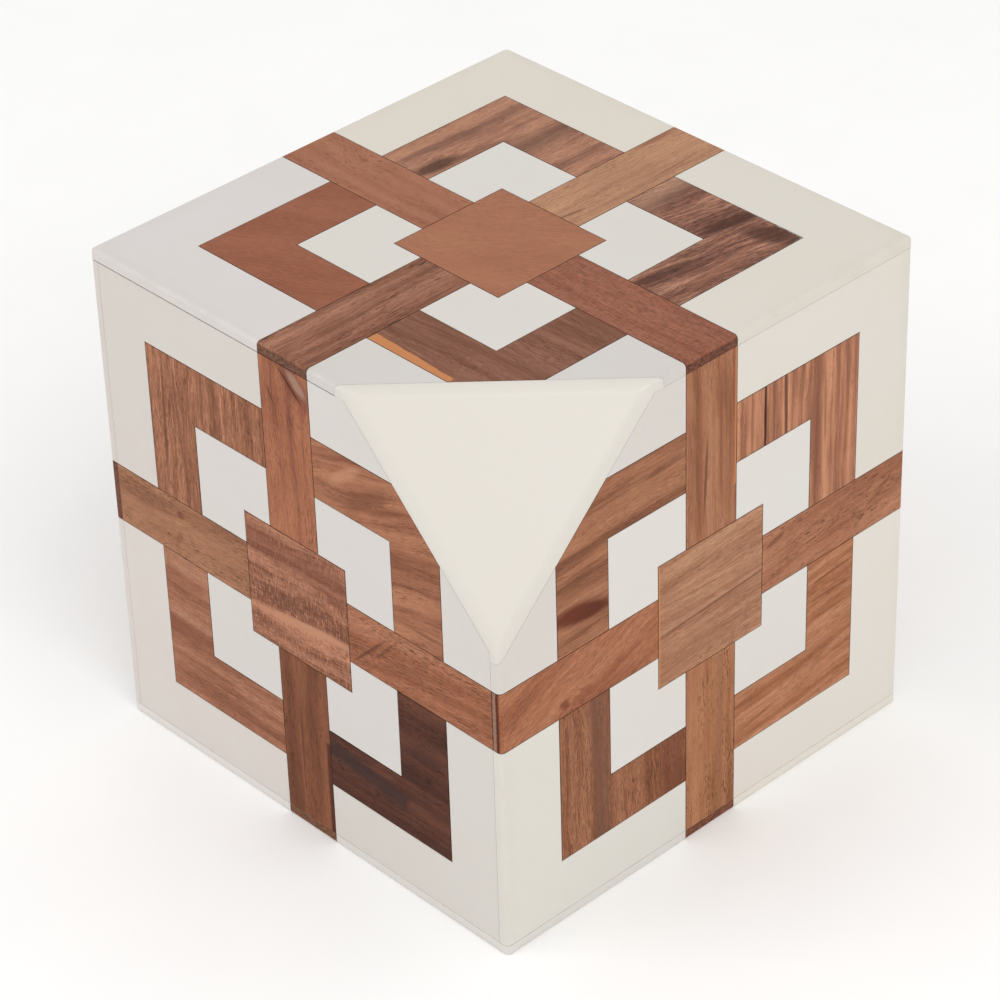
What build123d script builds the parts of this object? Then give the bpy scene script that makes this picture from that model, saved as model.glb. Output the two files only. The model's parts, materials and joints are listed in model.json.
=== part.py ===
"""Wooden puzzle box: a cube clad in resin and hardwood tiles, one top corner cut off.

Frame: +X right face, -Y front face, +Z up. The cut corner is the right/front/top one.
The origin is the centre of the footprint, on the resting plane. Millimetres.

Two things move.
  The lid (top cladding, lid board, rear trim strip) slides towards +Y in grooves.
  The centre tile of the left (-X) face is a push button. It bends a leaf latch that
  otherwise stands behind a cleat under the lid and keeps it shut.
"""
import os
from math import radians, tan

from build123d import *

os.makedirs("parts", exist_ok=True)

# ---------------------------------------------------------------- driving sizes
side = 150.0            # outer edge of the cube
half = side / 2
tile_t = 3.0            # thickness of the cladding tiles
wall_t = 9.0            # carcass boards
ring_out = 20.0         # edge of the box to the outer side of the wood ring
ring_in = 38.0          # edge of the box to the inner side of the wood ring
ribbon_hw = 9.2         # half width of the wood ribbon that crosses each face
centre_hw = 19.3        # half width of the centre square
cut_x, cut_y, cut_z = 52.0, 54.2, 53.3   # length the cut corner takes off each of its three edges
arris_r = 5.0           # rounding of the cut corner's three edges
glue = 0.25             # glue line between two tiles
edge_break = 0.8        # broken outer edges
clear = 0.3             # gap between parts that move past each other

core = half - tile_t            # outer face of the carcass, 72
room = core - wall_t            # inner face of the carcass walls, 63
lid_under = side - tile_t       # underside of the top cladding, 147
wall_top = lid_under - clear    # top of the walls the lid slides over
board_under = lid_under - wall_t   # underside of the lid board, 138
back_top = board_under - clear     # top of the low rear wall
floor_top = tile_t + wall_t        # 12

tongue_z, tongue_h, tongue_w = 142.0, 3.0, 4.0   # lid tongue: middle height, height, reach

button_travel = 2.5
stem_r, stem_fit = 6.0, 0.05
spring_x, spring_t = -60.2, 0.6    # wall side of the leaf, thickness
latch_end_y = -40.0                # the leaf's finger ends here, behind the cleat
over = 6.0                         # how far profiles run past the box before trimming

# ---------------------------------------------------------------- cutting planes
n_top, n_front, n_right = Vector(0, 0, 1), Vector(0, -1, 0), Vector(1, 0, 0)
n_facet = Vector(1 / cut_x, -1 / cut_y, 1 / cut_z).normalized()
facet_mid = Vector(half - cut_x / 3, -half + cut_y / 3, side - cut_z / 3)
facet_outer = Plane(origin=facet_mid, x_dir=(cut_x, cut_y, 0), z_dir=n_facet)
facet_inner = facet_outer.offset(-tile_t)
lid_corner = facet_outer.offset(-tile_t - clear)
# The tiles of the three faces end square, where the rounding of the cut corner starts.
round_top, round_front, round_right = (
    arris_r * tan(radians(n_facet.get_angle(n)) / 2) for n in (n_top, n_front, n_right)
)
end_top = Plane(
    origin=(half - cut_x / 2, -half + cut_y / 2, side), z_dir=(-1 / cut_x, 1 / cut_y, 0)
).offset(round_top)
end_front = Plane(
    origin=(half - cut_x / 2, -half, side - cut_z / 2), z_dir=(-1 / cut_x, 0, -1 / cut_z)
).offset(round_front)
end_right = Plane(
    origin=(half, -half + cut_y / 2, side - cut_z / 2), z_dir=(0, 1 / cut_y, -1 / cut_z)
).offset(round_right)
seam = clear / 2        # plate and tiles each stand back from their seam by this much

top_plane = Plane(origin=(0, 0, side), z_dir=(0, 0, 1))
bottom_plane = Plane(origin=(0, 0, 0), z_dir=(0, 0, -1))
front_plane = Plane(origin=(0, -half, half), z_dir=(0, -1, 0))
back_plane = Plane(origin=(0, half, half), z_dir=(0, 1, 0))
right_plane = Plane(origin=(half, 0, half), z_dir=(1, 0, 0))
left_plane = Plane(origin=(-half, 0, half), z_dir=(-1, 0, 0))

# ---------------------------------------------------------------- tile profiles
# One face of the cube, all four quadrants alike, each tile set back by half a glue line.
e = glue / 2
o_lo, o_hi = ribbon_hw + e, half + over
k_hi = half - ring_out
i_hi = half - ring_in

with BuildSketch() as outer_profile:
    with GridLocations(o_lo + o_hi, o_lo + o_hi, 2, 2):
        Rectangle(o_hi - o_lo, o_hi - o_lo)
    Rectangle(2 * (k_hi + e), 2 * (k_hi + e), mode=Mode.SUBTRACT)

with BuildSketch() as ring_profile:
    with GridLocations(o_lo + k_hi - e, o_lo + k_hi - e, 2, 2):
        Rectangle(k_hi - e - o_lo, k_hi - e - o_lo)
    Rectangle(2 * (i_hi + e), 2 * (i_hi + e), mode=Mode.SUBTRACT)

with BuildSketch() as inner_profile:
    with GridLocations(o_lo + i_hi - e, o_lo + i_hi - e, 2, 2):
        Rectangle(i_hi - e - o_lo, i_hi - e - o_lo)
    Rectangle(2 * (centre_hw + e), 2 * (centre_hw + e), mode=Mode.SUBTRACT)

with BuildSketch() as ribbon_profile:
    Rectangle(2 * o_hi, 2 * (ribbon_hw - e))
    Rectangle(2 * (ribbon_hw - e), 2 * o_hi)
    Rectangle(2 * (centre_hw + e), 2 * (centre_hw + e), mode=Mode.SUBTRACT)

with BuildSketch() as centre_profile:
    Rectangle(2 * (centre_hw - e), 2 * (centre_hw - e))

# ---------------------------------------------------------------- outer form and layers
# The finished outside, with the corner cut and every outer edge broken.
with BuildPart() as envelope:
    Box(side, side, side, align=(Align.CENTER, Align.CENTER, Align.MIN))
    split(bisect_by=facet_outer, keep=Keep.BOTTOM)
    facet_dir = Axis(origin=(0, 0, half), direction=n_facet)
    fillet(envelope.faces().sort_by(facet_dir)[-1].edges(), radius=arris_r)
    at = half - edge_break / 2
    for a in (-1, 1):
        for b in (-1, 1):
            split(bisect_by=Plane(origin=(a * at, b * at, half), z_dir=(a, b, 0)), keep=Keep.BOTTOM)
            split(bisect_by=Plane(origin=(a * at, 0, half + b * at), z_dir=(a, 0, b)), keep=Keep.BOTTOM)
            split(bisect_by=Plane(origin=(0, a * at, half + b * at), z_dir=(0, a, b)), keep=Keep.BOTTOM)

with BuildPart() as top_layer:
    with Locations((0, 0, lid_under)):
        Box(side, side, tile_t, align=(Align.CENTER, Align.CENTER, Align.MIN))
    split(bisect_by=end_top.offset(seam), keep=Keep.TOP)
    add(envelope.part, mode=Mode.INTERSECT)

with BuildPart() as bottom_layer:
    Box(side, side, tile_t, align=(Align.CENTER, Align.CENTER, Align.MIN))
    add(envelope.part, mode=Mode.INTERSECT)

with BuildPart() as front_layer:
    with Locations((0, -half, tile_t)):
        Box(2 * core, tile_t, wall_top - tile_t, align=(Align.CENTER, Align.MIN, Align.MIN))
    split(bisect_by=end_front.offset(seam), keep=Keep.TOP)
    add(envelope.part, mode=Mode.INTERSECT)

with BuildPart() as back_layer:
    with Locations((0, half, tile_t)):
        Box(2 * core, tile_t, back_top - tile_t, align=(Align.CENTER, Align.MAX, Align.MIN))
    add(envelope.part, mode=Mode.INTERSECT)

with BuildPart() as back_trim_layer:
    with Locations((0, half, board_under)):
        Box(2 * (core - clear), tile_t, wall_t, align=(Align.CENTER, Align.MAX, Align.MIN))
    add(envelope.part, mode=Mode.INTERSECT)

with BuildPart() as right_layer:
    with Locations((half, 0, tile_t)):
        Box(tile_t, side, wall_top - tile_t, align=(Align.MAX, Align.CENTER, Align.MIN))
    split(bisect_by=end_right.offset(seam), keep=Keep.TOP)
    add(envelope.part, mode=Mode.INTERSECT)

with BuildPart() as left_layer:
    with Locations((-half, 0, tile_t)):
        Box(tile_t, side, wall_top - tile_t, align=(Align.MIN, Align.CENTER, Align.MIN))
    add(envelope.part, mode=Mode.INTERSECT)

# ================================================================ top face (on the lid)
with BuildPart() as lid_outer_resin:
    with BuildSketch(top_plane):
        add(outer_profile.sketch)
    extrude(amount=-tile_t)
    add(top_layer.part, mode=Mode.INTERSECT)

with BuildPart() as lid_ring_wood:
    with BuildSketch(top_plane):
        add(ring_profile.sketch)
    extrude(amount=-tile_t)
    add(top_layer.part, mode=Mode.INTERSECT)

with BuildPart() as lid_inner_resin:
    with BuildSketch(top_plane):
        add(inner_profile.sketch)
    extrude(amount=-tile_t)

with BuildPart() as lid_ribbons:
    with BuildSketch(top_plane):
        add(ribbon_profile.sketch)
    extrude(amount=-tile_t)
    add(top_layer.part, mode=Mode.INTERSECT)

with BuildPart() as lid_centre_tile:
    with BuildSketch(top_plane):
        add(centre_profile.sketch)
    extrude(amount=-tile_t)

# ================================================================ front face (-Y)
with BuildPart() as front_outer_resin:
    with BuildSketch(front_plane):
        add(outer_profile.sketch)
    extrude(amount=-tile_t)
    add(front_layer.part, mode=Mode.INTERSECT)

with BuildPart() as front_ring_wood:
    with BuildSketch(front_plane):
        add(ring_profile.sketch)
    extrude(amount=-tile_t)
    add(front_layer.part, mode=Mode.INTERSECT)

with BuildPart() as front_inner_resin:
    with BuildSketch(front_plane):
        add(inner_profile.sketch)
    extrude(amount=-tile_t)

with BuildPart() as front_ribbons:
    with BuildSketch(front_plane):
        add(ribbon_profile.sketch)
    extrude(amount=-tile_t)
    add(front_layer.part, mode=Mode.INTERSECT)

with BuildPart() as front_centre_tile:
    with BuildSketch(front_plane):
        add(centre_profile.sketch)
    extrude(amount=-tile_t)

# ================================================================ right face (+X)
with BuildPart() as right_outer_resin:
    with BuildSketch(right_plane):
        add(outer_profile.sketch)
    extrude(amount=-tile_t)
    add(right_layer.part, mode=Mode.INTERSECT)

with BuildPart() as right_ring_wood:
    with BuildSketch(right_plane):
        add(ring_profile.sketch)
    extrude(amount=-tile_t)
    add(right_layer.part, mode=Mode.INTERSECT)

with BuildPart() as right_inner_resin:
    with BuildSketch(right_plane):
        add(inner_profile.sketch)
    extrude(amount=-tile_t)

with BuildPart() as right_ribbons:
    with BuildSketch(right_plane):
        add(ribbon_profile.sketch)
    extrude(amount=-tile_t)
    add(right_layer.part, mode=Mode.INTERSECT)

with BuildPart() as right_centre_tile:
    with BuildSketch(right_plane):
        add(centre_profile.sketch)
    extrude(amount=-tile_t)

# ================================================================ back face (+Y)
with BuildPart() as back_outer_resin:
    with BuildSketch(back_plane):
        add(outer_profile.sketch)
    extrude(amount=-tile_t)
    add(back_layer.part, mode=Mode.INTERSECT)

with BuildPart() as back_ring_wood:
    with BuildSketch(back_plane):
        add(ring_profile.sketch)
    extrude(amount=-tile_t)

with BuildPart() as back_inner_resin:
    with BuildSketch(back_plane):
        add(inner_profile.sketch)
    extrude(amount=-tile_t)

with BuildPart() as back_ribbons:
    with BuildSketch(back_plane):
        add(ribbon_profile.sketch)
    extrude(amount=-tile_t)
    add(back_layer.part, mode=Mode.INTERSECT)

with BuildPart() as back_centre_tile:
    with BuildSketch(back_plane):
        add(centre_profile.sketch)
    extrude(amount=-tile_t)

# The strip across the top of the back face leaves with the lid.
with BuildPart() as lid_back_resin:
    with BuildSketch(back_plane):
        add(outer_profile.sketch)
    extrude(amount=-tile_t)
    add(back_trim_layer.part, mode=Mode.INTERSECT)

with BuildPart() as lid_back_ribbon:
    with BuildSketch(back_plane):
        add(ribbon_profile.sketch)
    extrude(amount=-tile_t)
    add(back_trim_layer.part, mode=Mode.INTERSECT)

# ================================================================ left face (-X)
with BuildPart() as left_outer_resin:
    with BuildSketch(left_plane):
        add(outer_profile.sketch)
    extrude(amount=-tile_t)
    add(left_layer.part, mode=Mode.INTERSECT)

with BuildPart() as left_ring_wood:
    with BuildSketch(left_plane):
        add(ring_profile.sketch)
    extrude(amount=-tile_t)

with BuildPart() as left_inner_resin:
    with BuildSketch(left_plane):
        add(inner_profile.sketch)
    extrude(amount=-tile_t)

with BuildPart() as left_ribbons:
    with BuildSketch(left_plane):
        add(ribbon_profile.sketch)
    extrude(amount=-tile_t)
    add(left_layer.part, mode=Mode.INTERSECT)

# The centre tile of this face is the button, with a sliding gap round it.
with BuildPart() as button_tile:
    with BuildSketch(left_plane):
        Rectangle(2 * (centre_hw + e - clear), 2 * (centre_hw + e - clear))
    extrude(amount=-tile_t)

# ================================================================ bottom face
with BuildPart() as bottom_outer_resin:
    with BuildSketch(bottom_plane):
        add(outer_profile.sketch)
    extrude(amount=-tile_t)
    add(bottom_layer.part, mode=Mode.INTERSECT)

with BuildPart() as bottom_ring_wood:
    with BuildSketch(bottom_plane):
        add(ring_profile.sketch)
    extrude(amount=-tile_t)

with BuildPart() as bottom_inner_resin:
    with BuildSketch(bottom_plane):
        add(inner_profile.sketch)
    extrude(amount=-tile_t)

with BuildPart() as bottom_ribbons:
    with BuildSketch(bottom_plane):
        add(ribbon_profile.sketch)
    extrude(amount=-tile_t)
    add(bottom_layer.part, mode=Mode.INTERSECT)

with BuildPart() as bottom_centre_tile:
    with BuildSketch(bottom_plane):
        add(centre_profile.sketch)
    extrude(amount=-tile_t)

# ================================================================ cut corner
# The plate wraps round the three arrises and butts against the ends of the tiles.
with BuildPart() as front_bed:
    with Locations((0, -half, 0)):
        Box(2 * (core + seam), tile_t, wall_top + seam, align=(Align.CENTER, Align.MIN, Align.MIN))
    split(bisect_by=end_front.offset(-seam), keep=Keep.TOP)

with BuildPart() as right_bed:
    with Locations((half, 0, 0)):
        Box(tile_t, side, wall_top + seam, align=(Align.MAX, Align.CENTER, Align.MIN))
    split(bisect_by=end_right.offset(-seam), keep=Keep.TOP)

with BuildPart() as facet_plate:
    add(envelope.part)
    split(bisect_by=facet_inner, keep=Keep.TOP)
    split(bisect_by=end_top.offset(-seam), keep=Keep.BOTTOM)
    add(front_bed.part, mode=Mode.SUBTRACT)
    add(right_bed.part, mode=Mode.SUBTRACT)

# Closes the cavity behind the facet and carries the plate.
with BuildPart() as corner_block:
    with Locations((0, 0, floor_top)):
        Box(2 * room, 2 * room, back_top - floor_top, align=(Align.CENTER, Align.CENTER, Align.MIN))
    split(bisect_by=facet_inner, keep=Keep.BOTTOM)
    split(bisect_by=facet_inner.offset(-12.0), keep=Keep.TOP)

# ================================================================ carcass
screw_r, screw_len, screw_head_r = 1.5, 22.0, 3.0
floor_screw_spots = [
    (sx * (core - wall_t / 2), sy * 50.0) for sx in (-1, 1) for sy in (-1, 1)
] + [(sx * 40.0, sy * (core - wall_t / 2)) for sx in (-1, 1) for sy in (-1, 1)]
side_spots = [(0, -50.0), (0, 50.0)]
end_spots = [(-40.0, 0), (40.0, 0)]

with BuildPart() as floor_board:
    with Locations((0, 0, tile_t)):
        Box(2 * core, 2 * core, wall_t, align=(Align.CENTER, Align.CENTER, Align.MIN))
    with BuildSketch(Plane.XY.offset(tile_t)):
        with Locations(*floor_screw_spots):
            Circle(screw_r)
    extrude(amount=wall_t, mode=Mode.SUBTRACT)
    with Locations(*[(x, y, tile_t) for x, y in floor_screw_spots]):
        Cone(screw_head_r, screw_r, 2.0, align=(Align.CENTER, Align.CENTER, Align.MIN), mode=Mode.SUBTRACT)

with BuildPart() as left_wall:
    with Locations((-core, 0, floor_top)):
        Box(wall_t, 2 * core, wall_top - floor_top, align=(Align.MIN, Align.CENTER, Align.MIN))
    # groove for the lid's tongue, open at the back
    with Locations((-room, core, tongue_z)):
        Box(tongue_w + clear, core + room + tongue_w + clear, tongue_h + 2 * clear,
            align=(Align.MAX, Align.MAX, Align.CENTER), mode=Mode.SUBTRACT)
    # pocket the button tile sinks into, and the stem's hole
    with BuildSketch(Plane(origin=(-core, 0, half), z_dir=(-1, 0, 0))):
        Rectangle(2 * (centre_hw + e), 2 * (centre_hw + e))
    extrude(amount=-(button_travel + clear), mode=Mode.SUBTRACT)
    with BuildSketch(Plane(origin=(-core, 0, half), z_dir=(-1, 0, 0))):
        Circle(stem_r + stem_fit)
    extrude(amount=-wall_t, mode=Mode.SUBTRACT)
    # pilot holes for the latch screws and the floor screws
    with BuildSketch(Plane(origin=(-room, 0, 30.0), x_dir=(0, 1, 0), z_dir=(1, 0, 0))):
        with GridLocations(0.0, 9.0, 1, 2):
            Circle(screw_r)
    extrude(amount=-6.0, mode=Mode.SUBTRACT)
    with BuildSketch(Plane.XY.offset(floor_top)):
        with Locations(*[(-core + wall_t / 2, y) for _, y in side_spots]):
            Circle(screw_r)
    extrude(amount=screw_len - wall_t, mode=Mode.SUBTRACT)

with BuildPart() as right_wall:
    with Locations((core, 0, floor_top)):
        Box(wall_t, 2 * core, wall_top - floor_top, align=(Align.MAX, Align.CENTER, Align.MIN))
    with Locations((room, core, tongue_z)):
        Box(tongue_w + clear, core + room + tongue_w + clear, tongue_h + 2 * clear,
            align=(Align.MIN, Align.MAX, Align.CENTER), mode=Mode.SUBTRACT)
    with BuildSketch(Plane.XY.offset(floor_top)):
        with Locations(*[(core - wall_t / 2, y) for _, y in side_spots]):
            Circle(screw_r)
    extrude(amount=screw_len - wall_t, mode=Mode.SUBTRACT)
    split(bisect_by=facet_inner, keep=Keep.BOTTOM)

with BuildPart() as front_wall:
    with Locations((0, -core, floor_top)):
        Box(2 * room, wall_t, wall_top - floor_top, align=(Align.CENTER, Align.MIN, Align.MIN))
    with Locations((0, -room, tongue_z)):
        Box(2 * room, tongue_w + clear, tongue_h + 2 * clear,
            align=(Align.CENTER, Align.MAX, Align.CENTER), mode=Mode.SUBTRACT)
    with BuildSketch(Plane.XY.offset(floor_top)):
        with Locations(*[(x, -core + wall_t / 2) for x, _ in end_spots]):
            Circle(screw_r)
    extrude(amount=screw_len - wall_t, mode=Mode.SUBTRACT)
    split(bisect_by=facet_inner, keep=Keep.BOTTOM)

with BuildPart() as back_wall:
    with Locations((0, core, floor_top)):
        Box(2 * room, wall_t, back_top - floor_top, align=(Align.CENTER, Align.MAX, Align.MIN))
    with BuildSketch(Plane.XY.offset(floor_top)):
        with Locations(*[(x, core - wall_t / 2) for x, _ in end_spots]):
            Circle(screw_r)
    extrude(amount=screw_len - wall_t, mode=Mode.SUBTRACT)

with BuildPart() as floor_screws:
    with BuildSketch(Plane.XY.offset(tile_t)):
        with Locations(*floor_screw_spots):
            Circle(screw_r)
    extrude(amount=screw_len)
    with Locations(*[(x, y, tile_t) for x, y in floor_screw_spots]):
        Cone(screw_head_r, screw_r, 2.0, align=(Align.CENTER, Align.CENTER, Align.MIN))

with BuildPart() as felt_liner:
    with Locations((0, 0, floor_top)):
        Box(2 * room - 1.0, 2 * room - 1.0, 1.5, align=(Align.CENTER, Align.CENTER, Align.MIN))
    chamfer(felt_liner.edges().filter_by(Axis.Z), length=1.0)

# ================================================================ lid
with BuildPart() as lid_board:
    with Locations((0, core, board_under)):
        Box(2 * (room - clear), core + room - clear, wall_t, align=(Align.CENTER, Align.MAX, Align.MIN))
    # tongues on both sides and along the front edge
    with Locations((0, core, tongue_z)):
        Box(2 * (room - clear + tongue_w), core + room - clear, tongue_h,
            align=(Align.CENTER, Align.MAX, Align.CENTER))
    with Locations((0, -room + clear, tongue_z)):
        Box(2 * (room - clear), tongue_w, tongue_h, align=(Align.CENTER, Align.MAX, Align.CENTER))
    split(bisect_by=lid_corner, keep=Keep.BOTTOM)
    with BuildSketch(Plane.XY.offset(board_under)):
        with Locations((-59.2, latch_end_y - 3.4), (-59.2, latch_end_y - 9.4)):
            Circle(1.2)
    extrude(amount=6.0, mode=Mode.SUBTRACT)

with BuildPart() as lid_cleat:
    with Locations((-62.4, latch_end_y - 0.4, board_under)):
        Box(6.4, 12.0, 10.0, align=(Align.MIN, Align.MAX, Align.MAX))
    with BuildSketch(Plane.XY.offset(board_under)):
        with Locations((-59.2, latch_end_y - 3.4), (-59.2, latch_end_y - 9.4)):
            Circle(1.2)
    extrude(amount=-10.0, mode=Mode.SUBTRACT)
    with Locations((-59.2, latch_end_y - 3.4, board_under - 10.0), (-59.2, latch_end_y - 9.4, board_under - 10.0)):
        Cone(2.3, 1.2, 1.6, align=(Align.CENTER, Align.CENTER, Align.MIN), mode=Mode.SUBTRACT)
    chamfer(lid_cleat.edges().filter_by(Axis.Y).group_by(Axis.Z)[0].sort_by(Axis.X)[-1], length=0.8)

with BuildPart() as cleat_screws:
    with BuildSketch(Plane.XY.offset(board_under - 10.0)):
        with Locations((-59.2, latch_end_y - 3.4), (-59.2, latch_end_y - 9.4)):
            Circle(1.2)
    extrude(amount=16.0)
    with Locations((-59.2, latch_end_y - 3.4, board_under - 10.0), (-59.2, latch_end_y - 9.4, board_under - 10.0)):
        Cone(2.3, 1.2, 1.6, align=(Align.CENTER, Align.CENTER, Align.MIN))

# ================================================================ release button
with BuildPart() as button_stem:
    with BuildSketch(Plane(origin=(-core, 0, half), z_dir=(1, 0, 0))):
        Circle(stem_r)
    extrude(amount=core - abs(spring_x) - clear)
    chamfer(button_stem.edges().filter_by(GeomType.CIRCLE).sort_by(Axis.X)[-1], length=0.4)

with BuildPart() as stem_collar:
    with BuildSketch(Plane(origin=(-room + clear, 0, half), z_dir=(1, 0, 0))):
        Circle(stem_r + 3.0)
        Circle(stem_r, mode=Mode.SUBTRACT)
    extrude(amount=1.4)

# ================================================================ leaf latch
with BuildPart() as spring_block:
    with Locations((-room, 0, 30.0)):
        Box(room - abs(spring_x), 12.0, 20.0, align=(Align.MIN, Align.CENTER, Align.CENTER))
    with BuildSketch(Plane(origin=(-room, 0, 30.0), x_dir=(0, 1, 0), z_dir=(1, 0, 0))):
        with GridLocations(0.0, 9.0, 1, 2):
            Circle(screw_r)
    extrude(amount=room - abs(spring_x), mode=Mode.SUBTRACT)

with BuildPart() as latch_spring:
    # a flat L: a strip standing on the block, and a finger along the lid's cleat
    with BuildSketch(Plane(origin=(spring_x, 0, 0), x_dir=(0, 1, 0), z_dir=(1, 0, 0))):
        with BuildLine():
            Polyline((-4, 21.0), (4, 21.0), (4, 135.0), (latch_end_y, 135.0),
                     (latch_end_y, 128.5), (-4, 126.0), close=True)
        make_face()
        with Locations((0, 30.0)):
            with GridLocations(0.0, 9.0, 1, 2):
                Circle(screw_r, mode=Mode.SUBTRACT)
    extrude(amount=spring_t)

with BuildPart() as latch_screws:
    with BuildSketch(Plane(origin=(spring_x + spring_t, 0, 30.0), x_dir=(0, 1, 0), z_dir=(1, 0, 0))):
        with GridLocations(0.0, 9.0, 1, 2):
            Circle(screw_r)
    extrude(amount=-(room - abs(spring_x) + spring_t + 6.0))
    with BuildSketch(Plane(origin=(spring_x + spring_t, 0, 30.0), x_dir=(0, 1, 0), z_dir=(1, 0, 0))):
        with GridLocations(0.0, 9.0, 1, 2):
            Circle(2.8)
    extrude(amount=1.6)
    chamfer(latch_screws.edges().filter_by(GeomType.CIRCLE).group_by(Axis.X)[-1], length=0.5)

# ================================================================ export
nodes = {
    "lid_outer_resin": lid_outer_resin,
    "lid_ring_wood": lid_ring_wood,
    "lid_inner_resin": lid_inner_resin,
    "lid_ribbons": lid_ribbons,
    "lid_centre_tile": lid_centre_tile,
    "front_outer_resin": front_outer_resin,
    "front_ring_wood": front_ring_wood,
    "front_inner_resin": front_inner_resin,
    "front_ribbons": front_ribbons,
    "front_centre_tile": front_centre_tile,
    "right_outer_resin": right_outer_resin,
    "right_ring_wood": right_ring_wood,
    "right_inner_resin": right_inner_resin,
    "right_ribbons": right_ribbons,
    "right_centre_tile": right_centre_tile,
    "back_outer_resin": back_outer_resin,
    "back_ring_wood": back_ring_wood,
    "back_inner_resin": back_inner_resin,
    "back_ribbons": back_ribbons,
    "back_centre_tile": back_centre_tile,
    "lid_back_resin": lid_back_resin,
    "lid_back_ribbon": lid_back_ribbon,
    "left_outer_resin": left_outer_resin,
    "left_ring_wood": left_ring_wood,
    "left_inner_resin": left_inner_resin,
    "left_ribbons": left_ribbons,
    "button_tile": button_tile,
    "bottom_outer_resin": bottom_outer_resin,
    "bottom_ring_wood": bottom_ring_wood,
    "bottom_inner_resin": bottom_inner_resin,
    "bottom_ribbons": bottom_ribbons,
    "bottom_centre_tile": bottom_centre_tile,
    "facet_plate": facet_plate,
    "corner_block": corner_block,
    "floor_board": floor_board,
    "left_wall": left_wall,
    "right_wall": right_wall,
    "front_wall": front_wall,
    "back_wall": back_wall,
    "floor_screws": floor_screws,
    "felt_liner": felt_liner,
    "lid_board": lid_board,
    "lid_cleat": lid_cleat,
    "cleat_screws": cleat_screws,
    "button_stem": button_stem,
    "stem_collar": stem_collar,
    "spring_block": spring_block,
    "latch_spring": latch_spring,
    "latch_screws": latch_screws,
}

for name, built in nodes.items():
    built.part.label = name
    export_step(built.part, f"parts/{name}.step")
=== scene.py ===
"""Looks for the wooden puzzle box: inlaid resin and hardwood tiles over a plain carcass.

All lengths in the tables are millimetres; meshes are built in metres in the row frame.
Faces carry (u, v) coordinates measured from the face's middle, w outward.
"""

import json
import math
import random

import bmesh
import bpy
from mathutils import Matrix, Vector

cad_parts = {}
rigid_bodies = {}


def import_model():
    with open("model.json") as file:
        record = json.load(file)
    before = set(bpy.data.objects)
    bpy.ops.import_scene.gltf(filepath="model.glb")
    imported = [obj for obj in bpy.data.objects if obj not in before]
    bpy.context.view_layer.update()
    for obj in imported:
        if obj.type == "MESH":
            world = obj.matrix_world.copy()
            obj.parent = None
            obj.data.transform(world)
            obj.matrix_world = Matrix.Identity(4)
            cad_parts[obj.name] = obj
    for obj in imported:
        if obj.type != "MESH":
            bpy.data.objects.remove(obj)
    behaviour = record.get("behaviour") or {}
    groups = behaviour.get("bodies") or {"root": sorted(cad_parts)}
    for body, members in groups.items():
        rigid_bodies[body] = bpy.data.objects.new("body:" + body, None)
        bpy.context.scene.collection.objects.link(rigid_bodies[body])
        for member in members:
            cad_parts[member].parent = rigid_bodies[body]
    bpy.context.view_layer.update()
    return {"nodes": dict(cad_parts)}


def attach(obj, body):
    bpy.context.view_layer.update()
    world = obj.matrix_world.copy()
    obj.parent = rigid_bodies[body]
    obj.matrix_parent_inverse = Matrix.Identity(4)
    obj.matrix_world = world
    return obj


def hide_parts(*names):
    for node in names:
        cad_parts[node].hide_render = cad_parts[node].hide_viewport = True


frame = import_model()


MM = 0.001
HALF, TILE = 75.0, 3.0
RING_OUT, RING_IN, RIB, CEN = 20.0, 38.0, 9.2, 19.3
E = 0.125                       # half a glue line
CUT = (52.0, 54.2, 53.3)
ARRIS = 2.6                     # setback of the rounding on the cut corner's edges
EASE = {"top": 1.15, "side": 1.45, "back": 2.3, "foot": 0.75}   # setback on the other edges
CORE = HALF - TILE
LID_Z, WALL_Z, BOARD_Z, BACK_Z = 147.0, 146.7, 138.0, 137.7

FACES = {
    "top": ((0, 0, 150), (1, 0, 0), (0, 1, 0), (0, 0, 1)),
    "front": ((0, -75, 75), (1, 0, 0), (0, 0, 1), (0, -1, 0)),
    "right": ((75, 0, 75), (0, 1, 0), (0, 0, 1), (1, 0, 0)),
    "back": ((0, 75, 75), (1, 0, 0), (0, 0, 1), (0, 1, 0)),
    "left": ((-75, 0, 75), (0, 1, 0), (0, 0, 1), (-1, 0, 0)),
    "bottom": ((0, 0, 0), (1, 0, 0), (0, 1, 0), (0, 0, -1)),
}


def face_point(face, u, v, w=0.0):
    o, a, b, n = (Vector(x) for x in FACES[face])
    return (o + a * u + b * v + n * w) * MM


# ------------------------------------------------------------------ solids
facet_n = Vector((1 / CUT[0], -1 / CUT[1], 1 / CUT[2])).normalized()
facet_c = Vector((HALF - CUT[0] / 3, -HALF + CUT[1] / 3, 150 - CUT[2] / 3))
# where the tiles of a face stop, square to the face, and the direction away from the cut corner
ENDS = {
    "top": (Vector((HALF - CUT[0] / 2, -HALF + CUT[1] / 2, 150)), Vector((-1 / CUT[0], 1 / CUT[1], 0))),
    "front": (Vector((HALF - CUT[0] / 2, -HALF, 150 - CUT[2] / 2)), Vector((-1 / CUT[0], 0, -1 / CUT[2]))),
    "right": (Vector((HALF, -HALF + CUT[1] / 2, 150 - CUT[2] / 2)), Vector((0, 1 / CUT[1], -1 / CUT[2]))),
}
for key, (co, no) in ENDS.items():
    no = no.normalized()
    ENDS[key] = (co + no * ARRIS, no)


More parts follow.
